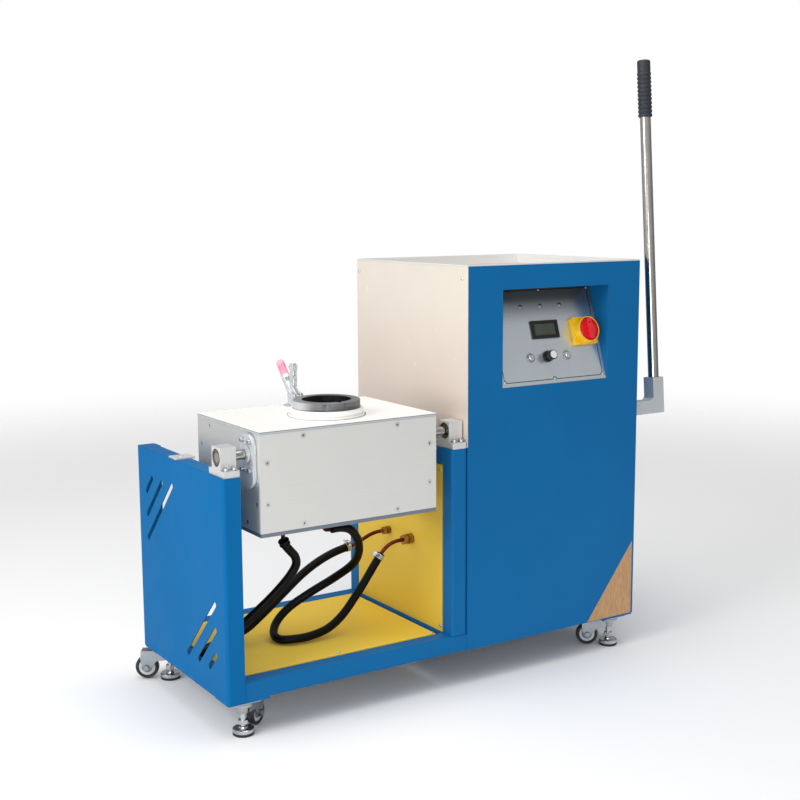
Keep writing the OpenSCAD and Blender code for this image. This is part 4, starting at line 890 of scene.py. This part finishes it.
class FURNACE_OT_switches(Operator):
    """Finish the main switch, the power knob and the push buttons"""

    bl_idname = "furnace.switches"
    bl_label = "Switch, knob and buttons"

    def execute(self, context):
        red = tuple(context.scene.furnace_paint.red)
        self.switch_collar(red)
        wear("main_switch", moulded("switch_red", red, 0.24, 0.02, coat=0.5))
        buttons = polished("button_steel", linear("e6e8e9"), 0.18)
        for node in ("start_button", "stop_button"):
            wear(node, buttons)
        self.knob()
        return {"FINISHED"}

    def knob(self):
        """Black knob with a bright cap, which starts this far out of the plate."""
        black, cap_start = linear("0e0f10"), 0.0237
        f = Finish("knob_black", black, 0.35, specular=0.25)
        cap = f.over(f.along(joint("power_knob_turn")["pos_m"], plate_frame()[2]), cap_start, 0.0002)
        f.link(f.mixed(cap, black, linear("eceded")), "Base Color")
        f.link(f.math("MULTIPLY", cap, 0.3), "Metallic")
        f.rough(f.noise(80, 3, 0.5), 0.25, 0.4)
        f.bump(f.noise(900, 2, 0.5), 0.05, 0.0003, f.round_edges(0.0005))
        wear("power_knob", f.material)

    def switch_collar(self, red):
        """Yellow plate with a collar that is red inside and on the inner part of its rim."""
        yellow, red_r, plate_height = linear("f9c70c"), 0.028, 0.01325
        corner, out = plate_frame()[0], plate_frame()[2]
        f = Finish("switch_yellow", yellow, 0.32)
        f.set("Coat Weight", 0.2)
        inner = f.under(f.away(joint("main_switch_turn")["pos_m"], out), red_r, 0.0002)
        collar = f.over(f.along(corner, out), plate_height, 0.0005)
        skin = f.mixed(f.ranged(f.noise(30, 4, 0.6), 0.35, 0.7), yellow, shade(yellow, 0.85))
        f.link(f.mixed(f.math("MULTIPLY", inner, collar), skin, red), "Base Color")
        f.rough(f.noise(80, 3, 0.5), 0.28, 0.42)
        f.bump(f.noise(900, 2, 0.5), 0.05, 0.0003, f.round_edges(0.0008))
        wear("switch_plate", f.material)


# Casters, fittings and the inside


class FURNACE_OT_casters(Operator):
    """Finish the caster plates, forks, wheels and levelling feet"""

    bl_idname = "furnace.casters"
    bl_label = "Casters and feet"

    def execute(self, context):
        # Painted shade: the 6 cm reach darkens plates and forks wherever the frame and wheels are near
        zinc = cast_alloy("caster_zinc", linear("b4b9bd"), 0.2, 1.0, reach=0.06)
        wear("caster_plates", zinc)
        for corner in CORNERS:
            wear("fork_" + corner, zinc)
            self.wheel(corner)
            self.foot(corner)
        return {"FINISHED"}

    def wheel(self, corner):
        """Dark tyre, pale wheel and grey hub, told apart by their distance from the axle."""
        tyre_r, hub_r = 0.01895, 0.01265
        spin = joint("wheel_spin_" + corner)
        f = Finish("wheel_" + corner, linear("26282b"), 0.5)
        radius = f.away(spin["pos_m"], spin["axis"])
        rubber = f.mixed(f.ranged(f.noise(60, 5, 0.6), 0.45, 0.8), linear("17181a"), linear("383736"))
        plastic = f.mixed(f.spread(f.noise(80, 3, 0.6)), linear("d3d5d6"), linear("b6b9bb"))
        body = f.mixed(f.under(radius, hub_r, 0.0003), plastic, linear("6f7275"))
        f.link(f.mixed(f.over(radius, tyre_r, 0.0003), body, rubber), "Base Color")
        f.rough(f.noise(50, 4, 0.6), 0.4, 0.6)
        f.bump(f.noise(700, 3, 0.6), 0.12, 0.0003, f.round_edges(0.0008))
        wear("wheel_" + corner, f.material)

    def foot(self, corner):
        """Chrome pad and stem on a black rubber sole."""
        sole = 0.0057
        f = Finish("foot_" + corner, linear("c4c6c8"), 0.16)
        metal = f.over(f.above(0), sole, 0.0002)
        chrome = f.mixed(f.ranged(f.noise(50, 4, 0.6), 0.4, 0.7), linear("c9cbcd"), linear("a9acae"))
        f.link(f.mixed(metal, linear("17181a"), chrome), "Base Color")
        f.link(metal, "Metallic")
        f.link(f.ranged(metal, 0, 1, 0.6, 0.17), "Roughness")
        f.bump(f.noise(600, 2, 0.6), 0.04, 0.0003, f.round_edges(0.0006))
        wear("foot_" + corner, f.material)


class FURNACE_OT_fittings(Operator):
    """Finish the water fittings and the machinery inside the cabinet"""

    bl_idname = "furnace.fittings"
    bl_label = "Water fittings and inside"

    def execute(self, context):
        self.brass()
        wear("generator", cast_alloy("generator_case", linear("8d9296"), 0.5))
        wear("transformer", moulded("transformer_varnish", linear("5b3d28"), 0.55, 0.2))
        return {"FINISHED"}

    def brass(self):
        """Stained brass unions on the bay wall, with dark copper tails to the left of them."""
        tail_end = machine_point(529.6, 0, 0)
        f = Finish("fitting_brass", linear("a87b45"), 0.32, metallic=1.0)
        stain = f.ranged(f.noise(70, 5, 0.65), 0.4, 0.75)
        union = f.mixed(stain, linear("b58a52"), linear("5a3c1c"))
        tail = f.mixed(stain, linear("7a3524"), linear("3f1a12"))
        metal = f.mixed(f.over(f.along(tail_end, RIGHTWARD), 0, 0.0002), tail, union)
        # Painted shade in the crevices of nuts, threads and joints
        f.link(f.mixed(f.crevice_shade(0.006, 0.9), metal, linear("1d120b")), "Base Color")
        f.rough(f.noise(90, 4, 0.6), 0.25, 0.48)
        f.bump(f.noise(500, 3, 0.6), 0.08, 0.0003, f.round_edges(0.0005))
        wear("water_fittings", f.material)


class FURNACE_OT_paper_corner(Operator):
    """Lay the plain brown paper triangle on the lower front corner of the cabinet"""

    bl_idname = "furnace.paper_corner"
    bl_label = "Paper corner"

    def execute(self, context):
        wide, tall, thick, glue = 0.14, 0.1825, 0.0003, 0.00002
        side_margin, foot_margin = 0.0045, 0.0015
        f = Finish("kraft_paper", linear("b0906a"), 0.75, specular=0.2)
        fibre = f.noise(1.0, 5, 0.65, f.stretched((260, 260, 60), (0, 0.7, 0)))
        f.link(f.mixed(f.ranged(fibre, 0.35, 0.7), linear("b28a60"), linear("cba37c")), "Base Color")
        f.bump(fibre, 0.15, 0.0003)
        low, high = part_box("front_panel")
        right, foot = high[0] - side_margin, low[2] + foot_margin
        outline = ((right, foot + tall), (right - wide, foot), (right, foot))
        front = [(x, low[1] - thick, z) for x, z in outline]
        back = [(x, low[1] - glue, z) for x, z in outline]
        faces = [(0, 1, 2), (5, 4, 3), (0, 3, 4, 1), (1, 4, 5, 2), (2, 5, 3, 0)]
        new_piece("paper_corner", front + back, faces, f.material)
        return {"FINISHED"}


# Stage


class FURNACE_OT_stage(Operator):
    """Set up the pale floor and the soft studio light"""

    bl_idname = "furnace.stage"
    bl_label = "Floor and light"

    def execute(self, context):
        studio = context.scene.furnace_studio
        context.scene.view_settings.view_transform = "Standard"
        self.floor(context)
        self.surroundings(context, studio.sky)
        for name, place, target, size, share in LAMPS:
            self.lamp(context, name, place, target, size, share * studio.key)
        return {"FINISHED"}

    def floor(self, context):
        """Round pale floor that fades out before its edge."""
        floor_r, sides = 7, 96
        f = Finish("studio_floor", linear("fbfbfb"), 0.8, specular=0.1)
        f.bump(f.noise(60, 2, 0.5), 0.01, 0.001)
        f.link(f.ranged(f.away((0, 0, 0)), 2.0, 5.0, 1, 0, smooth=True), "Alpha")
        mesh = bpy.data.meshes.new("studio_floor")
        angles = [math.tau * k / sides for k in range(sides)]
        ring = [(floor_r * math.cos(angle), floor_r * math.sin(angle), 0) for angle in angles]
        mesh.from_pydata(ring, [], [tuple(range(sides))])
        mesh.materials.append(f.material)
        floor = bpy.data.objects.new("studio_floor", mesh)
        context.collection.objects.link(floor)

    def surroundings(self, context, strength):
        """A white backdrop, and for light and reflections a room that is bright at the upper left."""
        bright_side = Vector((-0.72, -0.25, 0.65)).normalized()
        world = context.scene.world or bpy.data.worlds.new("studio_room")
        context.scene.world = world
        world.use_nodes = True
        tree = world.node_tree
        way = add_node(tree, "ShaderNodeTexCoord").outputs["Generated"]
        towards = add_node(tree, "ShaderNodeVectorMath", {
            0: way, 1: bright_side}, operation="DOT_PRODUCT")
        fall = add_node(tree, "ShaderNodeMapRange", {
            "Value": towards.outputs["Value"],
            "From Min": -0.7, "From Max": 0.8, "To Min": 0.28, "To Max": 1.0})
        room = tree.nodes["Background"]
        room.inputs["Strength"].default_value = strength
        tree.links.new(fall.outputs["Result"], room.inputs["Color"])
        backdrop = add_node(tree, "ShaderNodeBackground", {"Strength": 1.0, "Color": (1, 1, 1, 1)})
        seen = add_node(tree, "ShaderNodeLightPath").outputs["Is Camera Ray"]
        either = add_node(tree, "ShaderNodeMixShader", {
            0: seen, 1: room.outputs[0], 2: backdrop.outputs[0]})
        tree.links.new(either.outputs[0], tree.nodes["World Output"].inputs["Surface"])

    def lamp(self, context, name, place, target, size, power):
        """A round soft lamp at a place, turned to a target."""
        light = bpy.data.lights.new(name, "AREA")
        light.shape = "DISK"
        light.size = size
        light.energy = power
        lamp = bpy.data.objects.new(name, light)
        way = Vector(target) - Vector(place)
        lamp.rotation_euler = way.to_track_quat("-Z", "Y").to_euler()
        lamp.location = place
        context.collection.objects.link(lamp)


# Panel and registration


OPERATORS = (
    FURNACE_OT_camera, FURNACE_OT_hoses, FURNACE_OT_blue_frame, FURNACE_OT_yellow_sheets,
    FURNACE_OT_bare_sheets, FURNACE_OT_tilt_axis, FURNACE_OT_box, FURNACE_OT_crucible,
    FURNACE_OT_clamp, FURNACE_OT_lever, FURNACE_OT_control_plate, FURNACE_OT_switches,
    FURNACE_OT_casters, FURNACE_OT_fittings, FURNACE_OT_paper_corner, FURNACE_OT_stage,
)


class FURNACE_PT_panel(Panel):
    """Pieces and settings of the furnace"""

    bl_label = "Furnace"
    bl_space_type = "VIEW_3D"
    bl_region_type = "UI"
    bl_category = "Furnace"

    def draw(self, context):
        layout, scene = self.layout, context.scene
        for operator in OPERATORS:
            layout.operator(operator.bl_idname)
        for settings in (scene.furnace_paint, scene.furnace_hoses, scene.furnace_studio):
            box = layout.box()
            for name in settings.__annotations__:
                box.prop(settings, name)


CLASSES = (FurnacePaint, FurnaceHoses, FurnaceStudio, *OPERATORS, FURNACE_PT_panel)


def register():
    for cls in CLASSES:
        bpy.utils.register_class(cls)
    bpy.types.Scene.furnace_paint = PointerProperty(type=FurnacePaint)
    bpy.types.Scene.furnace_hoses = PointerProperty(type=FurnaceHoses)
    bpy.types.Scene.furnace_studio = PointerProperty(type=FurnaceStudio)


def unregister():
    del bpy.types.Scene.furnace_studio
    del bpy.types.Scene.furnace_hoses
    del bpy.types.Scene.furnace_paint
    for cls in reversed(CLASSES):
        bpy.utils.unregister_class(cls)


def main():
    """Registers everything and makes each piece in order."""
    register()
    for operator in OPERATORS:
        group, name = operator.bl_idname.split(".")
        getattr(getattr(bpy.ops, group), name)()


if __name__ == "__main__":
    main()
